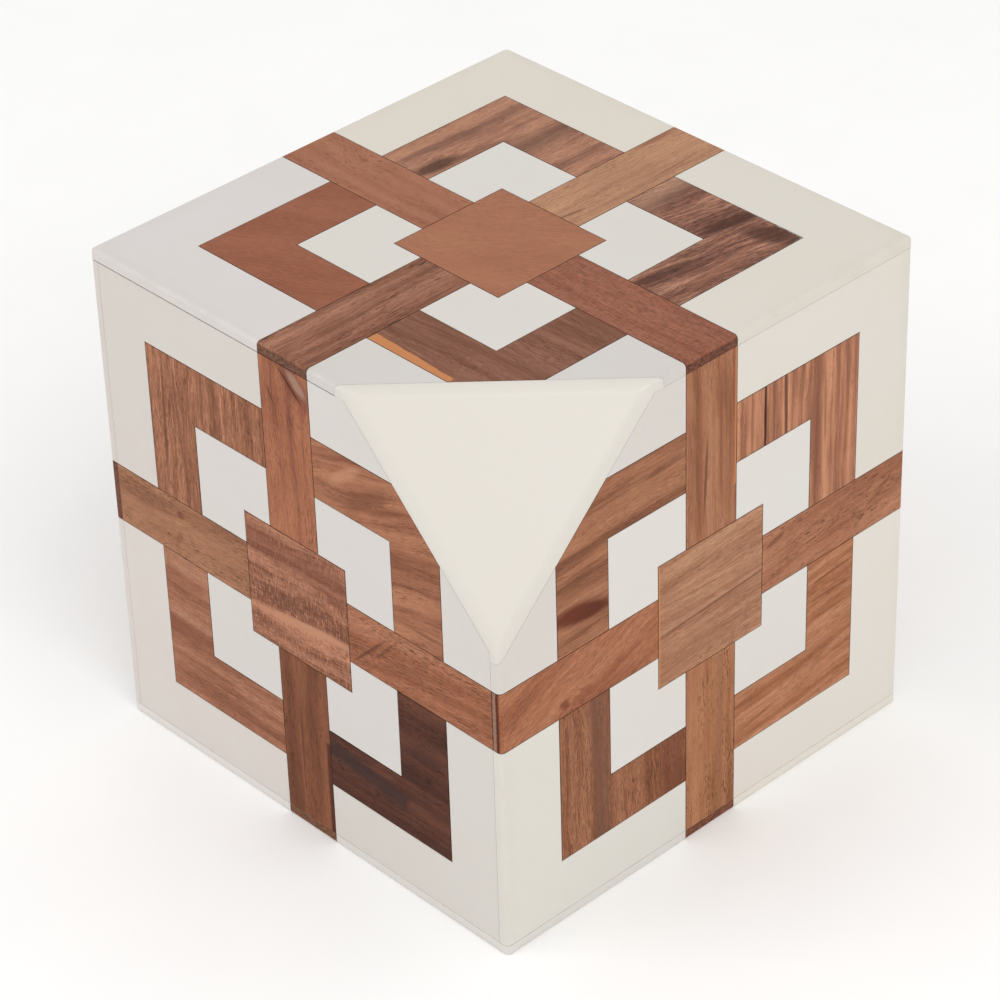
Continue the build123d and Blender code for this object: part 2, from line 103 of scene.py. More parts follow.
def slice_bm(bm, co, no):
    """Keeps the side the normal points away from, and closes the cut."""
    cut = bmesh.ops.bisect_plane(
        bm, geom=bm.verts[:] + bm.edges[:] + bm.faces[:], dist=1e-8,
        plane_co=Vector(co) * MM, plane_no=Vector(no).normalized(), clear_outer=True,
    )
    edges = [g for g in cut["geom_cut"] if isinstance(g, bmesh.types.BMEdge)]
    edges = [g for g in edges if g.is_valid and len(g.link_faces) == 1]
    if edges:
        bmesh.ops.edgeloop_fill(bm, edges=edges)


scratch = bpy.data.collections.new("scratch")
bpy.context.scene.collection.children.link(scratch)


def mesh_from(bm, name):
    me = bpy.data.meshes.new(name)
    bm.to_mesh(me)
    return me


def scratch_object(name, me):
    ob = bpy.data.objects.new(name, me)
    scratch.objects.link(ob)
    return ob


def applied(ob):
    dg = bpy.context.evaluated_depsgraph_get()
    return bpy.data.meshes.new_from_object(ob.evaluated_get(dg))


def make_envelope(inset):
    """The whole finished outside, inset by a little for what lies under the surface."""
    bm = bmesh.new()
    h = (HALF - inset) * MM
    made = bmesh.ops.create_cube(bm, size=1.0)
    for v in made["verts"]:
        v.co = Vector((v.co.x * 2 * h, v.co.y * 2 * h, 75 * MM + v.co.z * 2 * h))
    slice_bm(bm, facet_c - facet_n * inset, facet_n)
    bmesh.ops.recalc_face_normals(bm, faces=bm.faces)
    weight = bm.edges.layers.float.new("bevel_weight_edge")
    for ed in bm.edges:
        dots = [f.normal.dot(facet_n) for f in ed.link_faces]
        if max(dots) > 0.999:
            ease = ARRIS
        elif all(v.co.z < 1 * MM for v in ed.verts):
            ease = EASE["foot"]
        elif abs(ed.verts[0].co.z - ed.verts[1].co.z) > 1 * MM:
            away = all(v.co.x < 0 and v.co.y > 0 for v in ed.verts)
            ease = EASE["back"] if away else EASE["side"]
        else:
            ease = EASE["top"]
        ed[weight] = ease / ARRIS
    ob = scratch_object("envelope", mesh_from(bm, "envelope"))
    bm.free()
    mod = ob.modifiers.new("ease", "BEVEL")
    mod.limit_method, mod.offset_type, mod.width, mod.segments = "WEIGHT", "OFFSET", ARRIS * MM, 8
    me = applied(ob)
    bpy.data.objects.remove(ob)
    return me


envelopes = {}


def envelope(inset=0.0):
    if inset not in envelopes:
        envelopes[inset] = make_envelope(inset)
    bm = bmesh.new()
    bm.from_mesh(envelopes[inset])
    return bm


def layer(lo, hi, planes=(), inset=0.0):
    """The envelope cut down to one axis-aligned slab, then by any further planes."""
    bm = envelope(inset)
    for i in range(3):
        n = [0, 0, 0]
        n[i] = 1
        slice_bm(bm, (hi[0], hi[1], hi[2]), n)
        n[i] = -1
        slice_bm(bm, (lo[0], lo[1], lo[2]), n)
    for co, no in planes:
        slice_bm(bm, co, no)
    bmesh.ops.recalc_face_normals(bm, faces=bm.faces)
    return bm


BIG = 200.0
GAP = 0.06     # half the visible seam between the tiles and the plate of the cut corner
END = 0.08     # tiles stand back this much from the layer that covers their ends
FOOT = 0.14    # and this much from the bottom tiles


def end_cut(face, gap=GAP):
    """For slice_bm: keeps the tiles' side of a face's end plane."""
    co, no = ENDS[face]
    return (co + no * gap, -no)


def plate_cut(face, gap=GAP):
    """For slice_bm: keeps the cut corner's side of a face's end plane."""
    co, no = ENDS[face]
    return (co - no * gap, no)


RIGHT_TOP = WALL_Z + 0.2
LAYERS = {
    "top": layer((-BIG, -BIG, LID_Z), (BIG, BIG, BIG), [end_cut("top")]),
    "front": layer((-CORE + END, -BIG, TILE + FOOT), (CORE - END, -CORE, WALL_Z), [end_cut("front")]),
    "right": layer((CORE, -BIG, TILE + FOOT), (BIG, BIG, RIGHT_TOP), [end_cut("right")]),
    "back": layer((-CORE + END, CORE, TILE + FOOT), (CORE - END, BIG, BACK_Z)),
    "trim": layer((-CORE + 0.3, CORE, BOARD_Z), (CORE - 0.3, BIG, LID_Z)),
    "left": layer((-BIG, -BIG, TILE + FOOT), (-CORE, BIG, WALL_Z)),
    "bottom": layer((-BIG, -BIG, -BIG), (BIG, BIG, TILE)),
}

layer_objects = {}
for key, bm in LAYERS.items():
    layer_objects[key] = scratch_object("layer_" + key, mesh_from(bm, "layer_" + key))
    bm.free()


def tile_key(u, v):
    """Which tile of the pattern a point of a face belongs to, or 'glue'."""
    au, av = abs(u), abs(v)
    k, i = HALF - RING_OUT, HALF - RING_IN
    if au < CEN - E and av < CEN - E:
        return "centre"
    if au < RIB - E and av > CEN + E:
        return "rib_pv" if v > 0 else "rib_mv"
    if av < RIB - E and au > CEN + E:
        return "rib_pu" if u > 0 else "rib_mu"
    if au > RIB + E and av > RIB + E:
        q = ("p" if u > 0 else "m") + ("p" if v > 0 else "m")
        m = max(au, av)
        if CEN + E < m < i - E:
            return "inner_" + q
        if i + E < m < k - E:
            return "ring_" + q
        if m > k + E:
            return "outer_" + q
    return "glue"


half_steps = sorted(
    [RIB - E, RIB + E, CEN - E, CEN + E, HALF - RING_IN - E, HALF - RING_IN + E,
     HALF - RING_OUT - E, HALF - RING_OUT + E, HALF + 4.0]
)
STEPS = [-s for s in reversed(half_steps)] + half_steps


def prism(face, wanted, w_lo, w_hi, steps=STEPS, key=tile_key, dissolve=True):
    """A closed prism over every grid cell of the face whose key is wanted."""
    bm = bmesh.new()
    verts = {}

    def vert(u, v):
        if (u, v) not in verts:
            verts[(u, v)] = bm.verts.new(face_point(face, u, v, w_hi))
        return verts[(u, v)]

    for a in range(len(steps) - 1):
        for b in range(len(steps) - 1):
            u0, u1, v0, v1 = steps[a], steps[a + 1], steps[b], steps[b + 1]
            if key((u0 + u1) / 2, (v0 + v1) / 2) == wanted:
                bm.faces.new([vert(u0, v0), vert(u1, v0), vert(u1, v1), vert(u0, v1)])
    if dissolve:
        bmesh.ops.dissolve_limit(bm, angle_limit=0.01, verts=bm.verts, edges=bm.edges, delimit=set())
    n = Vector(FACES[face][3])
    ext = bmesh.ops.extrude_face_region(bm, geom=bm.faces[:])
    moved = [g for g in ext["geom"] if isinstance(g, bmesh.types.BMVert)]
    bmesh.ops.translate(bm, verts=moved, vec=n * (w_lo - w_hi) * MM)
    bmesh.ops.recalc_face_normals(bm, faces=bm.faces)
    return bm


def boolean(bm, operand, operation="INTERSECT"):
    """The part of a solid that lies in, or out of, another."""
    ob = scratch_object("cutting", bm if isinstance(bm, bpy.types.Mesh) else mesh_from(bm, "cutting"))
    mod = ob.modifiers.new("cut", "BOOLEAN")
    mod.operation, mod.solver, mod.object = operation, "EXACT", operand
    me = applied(ob)
    bpy.data.objects.remove(ob)
    me.materials.clear()
    return me


def add_piece(name, parts, body, nodes=()):
    """One object from several meshes, each with its own material."""
    bm = bmesh.new()
    mats = []
    for me, mat in parts:
        if mat not in mats:
            mats.append(mat)
        idx = mats.index(mat)
        first = len(bm.faces)
        bm.from_mesh(me)
        bm.faces.ensure_lookup_table()
        for f in bm.faces[first:]:
            f.material_index = idx
            f.smooth = False
    bmesh.ops.remove_doubles(bm, verts=bm.verts, dist=1e-7)
    bmesh.ops.dissolve_degenerate(bm, dist=1e-7, edges=bm.edges)
    me = mesh_from(bm, name)
    bm.free()
    for m in mats:
        me.materials.append(m)
    ob = bpy.data.objects.new(name, me)
    bpy.context.scene.collection.objects.link(ob)
    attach(ob, body)
    if nodes:
        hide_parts(*nodes)
    return ob


# ------------------------------------------------------------------ shader helpers
class Net:
    """Small helper for building a node tree from Python expressions."""

    def __init__(self, name):
        self.mat = bpy.data.materials.new(name)
        self.mat.use_nodes = True
        self.nt = self.mat.node_tree
        self.nt.nodes.clear()
        self.out = self.nt.nodes.new("ShaderNodeOutputMaterial")
        self.bsdf = self.nt.nodes.new("ShaderNodeBsdfPrincipled")
        self.nt.links.new(self.bsdf.outputs[0], self.out.inputs[0])

    def node(self, kind, **props):
        n = self.nt.nodes.new(kind)
        for k, v in props.items():
            setattr(n, k, v)
        return n

    def put(self, socket, value):
        if isinstance(value, bpy.types.NodeSocket):
            self.nt.links.new(value, socket)
        else:
            socket.default_value = value

    def math(self, op, a, b=0.0, c=0.0, clamp=False):
        n = self.node("ShaderNodeMath", operation=op, use_clamp=clamp)
        self.put(n.inputs[0], a)
        self.put(n.inputs[1], b)
        self.put(n.inputs[2], c)
        return n.outputs[0]

    def vmath(self, op, a, b=(0, 0, 0)):
        n = self.node("ShaderNodeVectorMath", operation=op)
        self.put(n.inputs[0], a)
        self.put(n.inputs[1], b)
        return n.outputs["Value"] if op in ("DOT_PRODUCT", "LENGTH") else n.outputs[0]

    def coords(self):
        return self.node("ShaderNodeTexCoord").outputs["Object"]

    def normal(self):
        return self.node("ShaderNodeTexCoord").outputs["Normal"]

    def mapping(self, vec, loc=(0, 0, 0), rot=(0, 0, 0), scale=(1, 1, 1)):
        n = self.node("ShaderNodeMapping")
        self.put(n.inputs["Vector"], vec)
        n.inputs["Location"].default_value = loc
        n.inputs["Rotation"].default_value = rot
        n.inputs["Scale"].default_value = scale
        return n.outputs[0]

    def noise(self, vec, scale=1.0, detail=2.0, rough=0.5, distortion=0.0, colour=False):
        n = self.node("ShaderNodeTexNoise")
        self.put(n.inputs["Vector"], vec)
        n.inputs["Scale"].default_value = scale
        n.inputs["Detail"].default_value = detail
        n.inputs["Roughness"].default_value = rough
        n.inputs["Distortion"].default_value = distortion
        return n.outputs["Color" if colour else 0]

    def ramp(self, x, lo, hi, a=0.0, b=1.0, smooth=True):
        n = self.node("ShaderNodeMapRange", interpolation_type="SMOOTHSTEP" if smooth else "LINEAR")
        self.put(n.inputs["Value"], x)
        n.inputs["From Min"].default_value = lo
        n.inputs["From Max"].default_value = hi
        n.inputs["To Min"].default_value = a
        n.inputs["To Max"].default_value = b
        return n.outputs[0]

    def mix(self, f, a, b, blend="MIX"):
        n = self.node("ShaderNodeMix", data_type="RGBA", blend_type=blend)
        self.put(n.inputs[0], f)
        for s, v in ((n.inputs[6], a), (n.inputs[7], b)):
            self.put(s, v if isinstance(v, bpy.types.NodeSocket) else tuple(v)[:3] + (1.0,))
        return n.outputs[2]

    def tones(self, x, stops):
        n = self.node("ShaderNodeValToRGB")
        cr = n.color_ramp
        while len(cr.elements) < len(stops):
            cr.elements.new(0.5)
        for el, (p, c) in zip(cr.elements, stops):
            el.position = p
            el.color = tuple(c)[:3] + (1.0,)
        self.put(n.inputs[0], x)
        return n.outputs[0]

    def split(self, vec):
        n = self.node("ShaderNodeSeparateXYZ")
        self.put(n.inputs[0], vec)
        return n.outputs[0], n.outputs[1], n.outputs[2]

    def join(self, x, y, z):
        n = self.node("ShaderNodeCombineXYZ")
        for s, v in zip(n.inputs, (x, y, z)):
            self.put(s, v)
        return n.outputs[0]

    def finish(self, colour, rough, height=None, bump=0.2, dist=0.0001, **sockets):
        self.put(self.bsdf.inputs["Base Color"], colour)
        self.put(self.bsdf.inputs["Roughness"], rough)
        if height is not None:
            b = self.node("ShaderNodeBump")
            b.inputs["Strength"].default_value = bump
            b.inputs["Distance"].default_value = dist
            self.put(b.inputs["Height"], height)
            self.put(self.bsdf.inputs["Normal"], b.outputs[0])
        for k, v in sockets.items():
            self.bsdf.inputs[k].default_value = v
        return self.mat


def basis_euler(g, c, n):
    """Euler angles of the rotation that takes g, c, n to X, Y, Z."""
    return Matrix((g, c, n)).to_euler("XYZ")


def times(c, k):
    return tuple(x * k for x in c)


def between(a, b, f):
    return tuple(x + (y - x) * f for x, y in zip(a, b))


# ------------------------------------------------------------------ hardwood
LIFT = 0.016                    # what the satin finish adds to a colour under the studio light
LIT = {"top": 1.085, "front": 1.0, "right": 0.995}


def base_of(face, colour):
    """The pigment that looks like this colour on that face under the studio light."""
    return tuple(max(0.002, (c - LIFT) / LIT.get(face, 1.0)) for c in colour)


def hardwood(name, face, angle, lo, mid, hi, band=5.0, band_s=1.0, fibre=0.5, pores=0.35, micro=0.04,
             warp=1.2, hatch=0.0, feats=(), seed=0, rough=0.5, pore_len=1.0, gain=1.0, end=None):
    """A solid-grained hardwood. The grain runs in the face's plane, at angle degrees from its u axis.

    feats: marks on this one piece, each (kind, u, v, half length, half width, angle, colour, strength, ragged).
    """
    net = Net(name)
    lo, mid, hi = (base_of(face, c) for c in (lo, mid, hi))
    feats = [(*f[:6], base_of(face, f[6]), *f[7:]) for f in feats]
    o, a, b, n = (Vector(x) for x in FACES[face])
    th = math.radians(angle)
    g = a * math.cos(th) + b * math.sin(th)
    c = n.cross(g)
    rnd = random.Random(seed * 7 + 3)
    off = tuple(rnd.uniform(-400, 400) for _ in range(3))
    obj = net.coords()
    p = net.mapping(obj, off, basis_euler(g, c, n), (1000, 1000, 1000))
    px, py, pz = net.split(p)

    # slow wander of the grain
    w1 = net.noise(net.mapping(p, scale=(0.022, 0.05, 0.05)), 1.0, 2.0, 0.5)
    w2 = net.noise(net.mapping(p, loc=(31, 7, 3), scale=(0.05, 0.10, 0.10)), 1.0, 1.0, 0.5)
    shift = net.math("ADD", net.math("MULTIPLY", net.math("SUBTRACT", w1, 0.5), warp * 7.0),
                     net.math("MULTIPLY", net.math("SUBTRACT", w2, 0.5), warp * 1.4))
    # the grain flows round knots
    face_p = net.mapping(obj, (-o.x, -o.y, -o.z), (0, 0, 0), (1000, 1000, 1000))
    fu = net.vmath("DOT_PRODUCT", face_p, tuple(a))
    fv = net.vmath("DOT_PRODUCT", face_p, tuple(b))
    for kind, u, v, hl, hw, ang, col, s, rag in feats:
        if kind != "knot":
            continue
        du, dv = net.math("SUBTRACT", fu, u), net.math("SUBTRACT", fv, v)
        r2 = net.math("ADD", net.math("MULTIPLY", du, du), net.math("MULTIPLY", dv, dv))
        fall = net.math("EXPONENT", net.math("MULTIPLY", r2, -1.0 / (hl * hl)))
        shift = net.math("ADD", shift, net.math("MULTIPLY", fall, hw))
    qy = net.math("ADD", py, shift)
    q = net.join(px, qy, net.math("ADD", pz, net.math("MULTIPLY", shift, 0.4)))

    f = 1.0 / band
    bands = net.noise(net.mapping(q, scale=(0.009, f, f)), 1.0, 4.0, 0.52)
    bands = net.ramp(bands, 0.32, 0.68, smooth=False)
    fine = net.noise(net.mapping(q, loc=(5, 9, 2), scale=(0.075, 1.7, 1.7)), 1.0, 3.0, 0.65)
    fine = net.ramp(fine, 0.3, 0.7, smooth=False)
    hair = net.noise(net.mapping(q, loc=(8, 1, 4), scale=(0.34, 4.2, 4.2)), 1.0, 2.0, 0.6)
    cloud = net.noise(net.mapping(p, loc=(2, 2, 9), scale=(0.05, 0.09, 0.09)), 1.0, 2.0, 0.55)
    tone = net.math("ADD", net.math("MULTIPLY", net.math("SUBTRACT", bands, 0.5), 0.55 * band_s), 0.5)
    tone = net.math("ADD", tone, net.math("MULTIPLY", net.math("SUBTRACT", fine, 0.5), 0.42 * fibre))
    tone = net.math("ADD", tone, net.math("MULTIPLY", net.math("SUBTRACT", cloud, 0.5), 0.55))
    colour = net.tones(tone, [(0.08, times(lo, 0.8 * gain)), (0.3, times(lo, gain)), (0.52, times(mid, gain)),
                              (0.76, times(hi, gain)), (0.98, times(hi, 1.12 * gain))])

    # the fine figure of the fibres, light and dark
    vein = net.noise(net.mapping(q, loc=(3, 6, 1), scale=(0.7, 6.0, 6.0)), 1.0, 2.0, 0.6)
    m_ = net.math("ADD", net.math("MULTIPLY", net.math("SUBTRACT", hair, 0.5), 13.0 * micro),
                  net.math("MULTIPLY", net.math("SUBTRACT", vein, 0.5), 9.0 * micro))
    m_ = net.math("ADD", m_, net.math("MULTIPLY", net.math("SUBTRACT", fine, 0.5), 2.0 * micro))
    m_ = net.math("MAXIMUM", net.math("ADD", m_, 1.0), 0.25)
    colour = net.vmath("MULTIPLY", colour, net.join(m_, m_, m_))

    # cross fleck
    if hatch:
        h1 = net.noise(net.mapping(p, loc=(3, 3, 3), scale=(2.2, 0.42, 0.5)), 1.0, 2.0, 0.6)
        h2 = net.noise(net.mapping(p, loc=(9, 4, 1), scale=(0.30, 2.4, 0.5)), 1.0, 2.0, 0.6)
        h = net.math("MULTIPLY", net.ramp(h1, 0.45, 0.7), net.ramp(h2, 0.3, 0.6))
        colour = net.mix(net.math("MULTIPLY", h, hatch), colour, times(hi, 1.25 * gain))
        dk = net.math("MULTIPLY", net.ramp(h1, 0.5, 0.25), hatch * 0.5)
        colour = net.mix(dk, colour, times(lo, 0.85 * gain))

    # open pores: short dark dashes along the grain
    pn = net.noise(net.mapping(q, loc=(1, 5, 8), scale=(0.34 / pore_len, 3.0, 3.0)), 1.0, 1.0, 0.4)
    pmask = net.ramp(pn, 0.61, 0.67)
    where = net.ramp(net.noise(net.mapping(p, loc=(4, 4, 4), scale=(0.04, 0.16, 0.16)), 1.0, 1.0, 0.5), 0.4, 0.62, 0.35, 1.0)
    small = net.noise(net.mapping(q, loc=(7, 2, 3), scale=(0.75 / pore_len, 5.0, 5.0)), 1.0, 0.0, 0.4)
    pmask = net.math("MAXIMUM", pmask, net.math("MULTIPLY", net.ramp(small, 0.64, 0.70), 0.75))
    pmask = net.math("MULTIPLY", pmask, where)
    colour = net.mix(net.math("MULTIPLY", pmask, min(1.0, pores * 1.3)), colour, times(lo, 0.4 * gain))

    # marks that belong to this piece
    if feats:
        rag_n = net.noise(net.mapping(q, loc=(6, 2, 7), scale=(0.10, 0.7, 0.7)), 1.0, 3.0, 0.6)
        rag_c = net.math("SUBTRACT", rag_n, 0.5)
        for kind, u, v, hl, hw, ang, col, s, rag in feats:
            t2 = math.radians(ang)
            du, dv = net.math("SUBTRACT", fu, u), net.math("SUBTRACT", fv, v)
            al = net.math("ADD", net.math("MULTIPLY", du, math.cos(t2)), net.math("MULTIPLY", dv, math.sin(t2)))
            ac = net.math("ADD", net.math("MULTIPLY", du, -math.sin(t2)), net.math("MULTIPLY", dv, math.cos(t2)))
            if kind in ("streak", "blot", "knot"):
                hl_, hw_ = (hl * 0.35, hl * 0.28) if kind == "knot" else (hl, hw)
                e1 = net.math("DIVIDE", al, hl_)
                e2 = net.math("DIVIDE", ac, hw_)
                d = net.math("SQRT", net.math("ADD", net.math("MULTIPLY", e1, e1), net.math("MULTIPLY", e2, e2)))
                d = net.math("ADD", d, net.math("MULTIPLY", rag_c, rag * 2.0))
                m = net.ramp(d, 1.15, 0.45)
            else:  # "band": straight sided, soft edged across its width, ragged along it
                e1 = net.math("SUBTRACT", net.math("ABSOLUTE", al), hl)
                e2 = net.math("SUBTRACT", net.math("ABSOLUTE", ac), hw)
                d = net.math("MAXIMUM", e1, e2)
                d = net.math("ADD", d, net.math("MULTIPLY", rag_c, rag * 6.0))
                soft = 0.18 if kind == "fill" else max(0.5, hw * 0.5)
                m = net.ramp(d, soft, -soft)
            m = net.math("MULTIPLY", m, s)
            if kind == "fill":
                edge = net.math("MULTIPLY", net.math("SUBTRACT", 1.0, net.math("ABSOLUTE", net.math("SUBTRACT", net.math("MULTIPLY", m, 2.0), 1.0))), 0.7, clamp=True)
                colour = net.mix(m, colour, times(col, gain))
                colour = net.mix(edge, colour, (0.035, 0.018, 0.010))
            else:
                colour = net.mix(m, colour, net.mix(0.5, times(col, gain), net.mix(1.0, colour, times(col, 1.0), "MULTIPLY")) if kind == "tint" else times(col, gain))

    # the worn end of a tile: darker, mottled, or with the layers a piece shows there
    nd = net.math("ABSOLUTE", net.vmath("DOT_PRODUCT", net.normal(), tuple(n)))
    endg = net.ramp(nd, 0.72, 0.25)
    mot = net.ramp(net.noise(net.mapping(p, loc=(2, 8, 5), scale=(1.1, 0.9, 1.4)), 1.0, 3.0, 0.65), 0.36, 0.64)
    dark_end = net.mix(mot, times(lo, 0.34 * gain), times(mid, 0.66 * gain))
    if end:
        depth = net.math("MULTIPLY", net.vmath("DOT_PRODUCT", face_p, tuple(n)), -1.0)
        depth = net.math("ADD", depth, net.math("MULTIPLY", net.math("SUBTRACT", mot, 0.5), 0.25))
        dark_end = net.tones(net.math("DIVIDE", depth, TILE), [(t_, base_of(face, c_)) for t_, c_ in end])
    colour = net.mix(net.math("MULTIPLY", endg, 0.92), colour, dark_end)

    height = net.math("ADD", net.math("MULTIPLY", hair, 0.35), net.math("MULTIPLY", pmask, -0.8))
    height = net.math("ADD", height, net.math("MULTIPLY", fine, 0.25))
    r = net.math("ADD", rough, net.math("MULTIPLY", net.math("SUBTRACT", fine, 0.5), 0.12))
    r = net.math("ADD", r, net.math("MULTIPLY", pmask, 0.2))
    return net.finish(colour, r, height, bump=0.25, dist=0.00012, **{"Specular IOR Level": 0.12})


# ------------------------------------------------------------------ cast resin
def edge_distance(net, p):
    """Distance in mm, on the surface, to the nearest outer edge of the box."""
    x, y, z = net.split(p)
    ax = net.math("SUBTRACT", HALF, net.math("ABSOLUTE", x))
    ay = net.math("SUBTRACT", HALF, net.math("ABSOLUTE", y))
    az = net.math("SUBTRACT", HALF, net.math("ABSOLUTE", net.math("SUBTRACT", z, HALF)))
    lo = net.math("MINIMUM", ax, net.math("MINIMUM", ay, az))
    hi = net.math("MAXIMUM", ax, net.math("MAXIMUM", ay, az))
    total = net.math("ADD", ax, net.math("ADD", ay, az))
    return net.math("SUBTRACT", total, net.math("ADD", lo, hi)), z


def resin(name, base, warm, edge_and_foot_darkening=1.0, seed=0, rough=0.36):
    net = Net(name)
    rnd = random.Random(seed + 11)
    p = net.mapping(net.coords(), (0, 0, 0), (0, 0, 0), (1000, 1000, 1000))
    off = tuple(rnd.uniform(-300, 300) for _ in range(3))
    ps = net.mapping(p, off)
    big = net.noise(ps, 0.018, 2.0, 0.5)
    mid = net.noise(ps, 0.11, 3.0, 0.55)
    fine = net.noise(ps, 0.9, 3.0, 0.6)
    speck = net.noise(ps, 2.3, 1.0, 0.4)
    t = net.math("ADD", net.math("MULTIPLY", net.math("SUBTRACT", big, 0.5), 1.5), 0.45)
    t = net.math("ADD", t, net.math("MULTIPLY", net.math("SUBTRACT", mid, 0.5), 0.7), clamp=True)
    colour = net.mix(t, base, warm)
    # faint cloudiness in the casting
    colour = net.mix(net.ramp(fine, 0.42, 0.75, 0.0, 0.05), colour, times(base, 0.93))
    # the edges have yellowed a little, and the colour darkens towards the foot
    d, z = edge_distance(net, p)
    aged = net.math("MULTIPLY", net.ramp(d, 6.0, 0.4), net.ramp(mid, 0.30, 0.70, 0.35, 1.0))
    colour = net.mix(net.math("MULTIPLY", aged, 0.34 * edge_and_foot_darkening), colour, times(warm, 0.93))
    thin = net.math("MULTIPLY", net.ramp(d, 0.9, 0.05), net.ramp(net.noise(ps, 0.22, 3.0, 0.7), 0.50, 0.64))
    colour = net.mix(net.math("MULTIPLY", thin, 0.16 * edge_and_foot_darkening), colour, (0.40, 0.33, 0.26))
    low = net.ramp(net.math("ADD", z, net.math("MULTIPLY", net.math("SUBTRACT", mid, 0.5), 5.0)), 3.4, 0.4)
    colour = net.mix(net.math("MULTIPLY", low, 0.10 * edge_and_foot_darkening), colour, (0.46, 0.40, 0.33))
    dots = net.math("MULTIPLY", net.ramp(speck, 0.74, 0.8), 0.35)
    colour = net.mix(dots, colour, times(warm, 0.72))
    # sanding scratches, very fine, in two directions
    s1 = net.noise(net.mapping(ps, rot=(0.4, 0.2, 0.7), scale=(0.12, 5.0, 5.0)), 1.0, 1.0, 0.5)
    s2 = net.noise(net.mapping(ps, rot=(-0.7, 0.5, -0.3), scale=(5.0, 5.0, 0.15)), 1.0, 1.0, 0.5)
    h = net.math("ADD", net.math("MULTIPLY", s1, 0.5), net.math("MULTIPLY", s2, 0.5))
    h = net.math("ADD", h, net.math("MULTIPLY", mid, 1.2))
    r = net.math("ADD", rough, net.math("MULTIPLY", net.math("SUBTRACT", fine, 0.5), 0.14))
    r = net.math("ADD", r, net.math("MULTIPLY", aged, 0.10))
    return net.finish(colour, r, h, bump=0.06, dist=0.0001,
                      **{"Specular IOR Level": 0.4, "Subsurface Weight": 0.12,
                         "Subsurface Radius": (0.0012, 0.001, 0.0008), "Subsurface Scale": 1.0})


def glue_mat(name, dark, light, bias=0.5):
    net = Net(name)
    p = net.mapping(net.coords(), (0, 0, 0), (0, 0, 0), (1000, 1000, 1000))
    n1 = net.noise(p, 0.35, 3.0, 0.6)
    n2 = net.noise(net.mapping(p, (7, 3, 5)), 2.2, 2.0, 0.6)
    t = net.math("ADD", net.math("MULTIPLY", n1, 0.7), net.math("MULTIPLY", n2, 0.3))
    colour = net.mix(net.ramp(t, bias - 0.12, bias + 0.14), dark, light)
    return net.finish(colour, 0.7, n2, bump=0.3, dist=0.0001, **{"Specular IOR Level": 0.2})


# ------------------------------------------------------------------ plain boards, metal, felt
def board_mat(name, lo, mid, hi, g, c, n, seed):
    net = Net(name)
    rnd = random.Random(seed)
    off = tuple(rnd.uniform(-200, 200) for _ in range(3))
    p = net.mapping(net.coords(), off, basis_euler(Vector(g), Vector(c), Vector(n)), (1000, 1000, 1000))
    px, py, pz = net.split(p)
    w = net.noise(net.mapping(p, scale=(0.012, 0.03, 0.03)), 1.0, 2.0, 0.5)
    qy = net.math("ADD", py, net.math("MULTIPLY", net.math("SUBTRACT", w, 0.5), 26.0))
    q = net.join(px, qy, pz)
    rings = net.noise(net.mapping(q, scale=(0.004, 0.22, 0.22)), 1.0, 4.0, 0.6)
    hair = net.noise(net.mapping(q, scale=(0.08, 3.4, 3.4)), 1.0, 2.0, 0.6)
    t = net.math("ADD", net.math("MULTIPLY", net.math("SUBTRACT", rings, 0.5), 1.7), 0.5)
    t = net.math("ADD", t, net.math("MULTIPLY", net.math("SUBTRACT", hair, 0.5), 0.55))
    colour = net.tones(t, [(0.1, lo), (0.5, mid), (0.9, hi)])
    nd = net.math("ABSOLUTE", net.vmath("DOT_PRODUCT", net.normal(), tuple(g)))
    colour = net.mix(net.math("MULTIPLY", net.ramp(nd, 0.6, 0.9), 0.6), colour, times(lo, 0.6))
    return net.finish(colour, net.math("ADD", 0.55, net.math("MULTIPLY", hair, 0.15)), hair, bump=0.2, dist=0.00012,
                      **{"Specular IOR Level": 0.3})


def metal_mat(name, base, dark, rough, axis, seed):
    net = Net(name)
    p = net.mapping(net.coords(), (seed, 0, 0), (0, 0, 0), (1000, 1000, 1000))
    sc = [7.0, 7.0, 7.0]
    sc[axis] = 0.25
    s = net.noise(net.mapping(p, scale=tuple(sc)), 1.0, 3.0, 0.6)
    blot = net.noise(p, 0.4, 3.0, 0.6)
    colour = net.mix(net.ramp(blot, 0.45, 0.75, 0.0, 0.5), base, dark)
    r = net.math("ADD", rough, net.math("MULTIPLY", net.math("SUBTRACT", s, 0.5), 0.25))
    return net.finish(colour, r, s, bump=0.12, dist=0.00005, Metallic=1.0)


def felt_mat(name, base, light):
    net = Net(name)
    p = net.mapping(net.coords(), (0, 0, 0), (0, 0, 0), (1000, 1000, 1000))
    f1 = net.noise(net.mapping(p, rot=(0, 0, 0.6), scale=(0.5, 3.2, 3.2)), 1.0, 3.0, 0.7)
    f2 = net.noise(net.mapping(p, rot=(0, 0, -0.9), scale=(3.0, 0.45, 3.0)), 1.0, 3.0, 0.7)
    lump = net.noise(p, 0.12, 3.0, 0.6)
    t = net.math("ADD", net.math("MULTIPLY", f1, 0.5), net.math("MULTIPLY", f2, 0.5))
    colour = net.mix(net.ramp(t, 0.42, 0.68), base, light)
    colour = net.mix(net.ramp(lump, 0.4, 0.75, 0.0, 0.3), colour, times(base, 0.7))
    return net.finish(colour, 0.95, t, bump=0.6, dist=0.0004, **{"Specular IOR Level": 0.15, "Sheen Weight": 0.25, "Sheen Roughness": 0.5})


# ------------------------------------------------------------------ what each wood piece looks like
ORANGE = (0.56, 0.235, 0.10)
DARKRED = (0.105, 0.03, 0.02)
CHOC = (0.085, 0.04, 0.03)
W = {}


def wood(key, angle, lo, mid, hi, **kw):
    W[key] = dict(angle=angle, lo=lo, mid=mid, hi=hi, **kw)


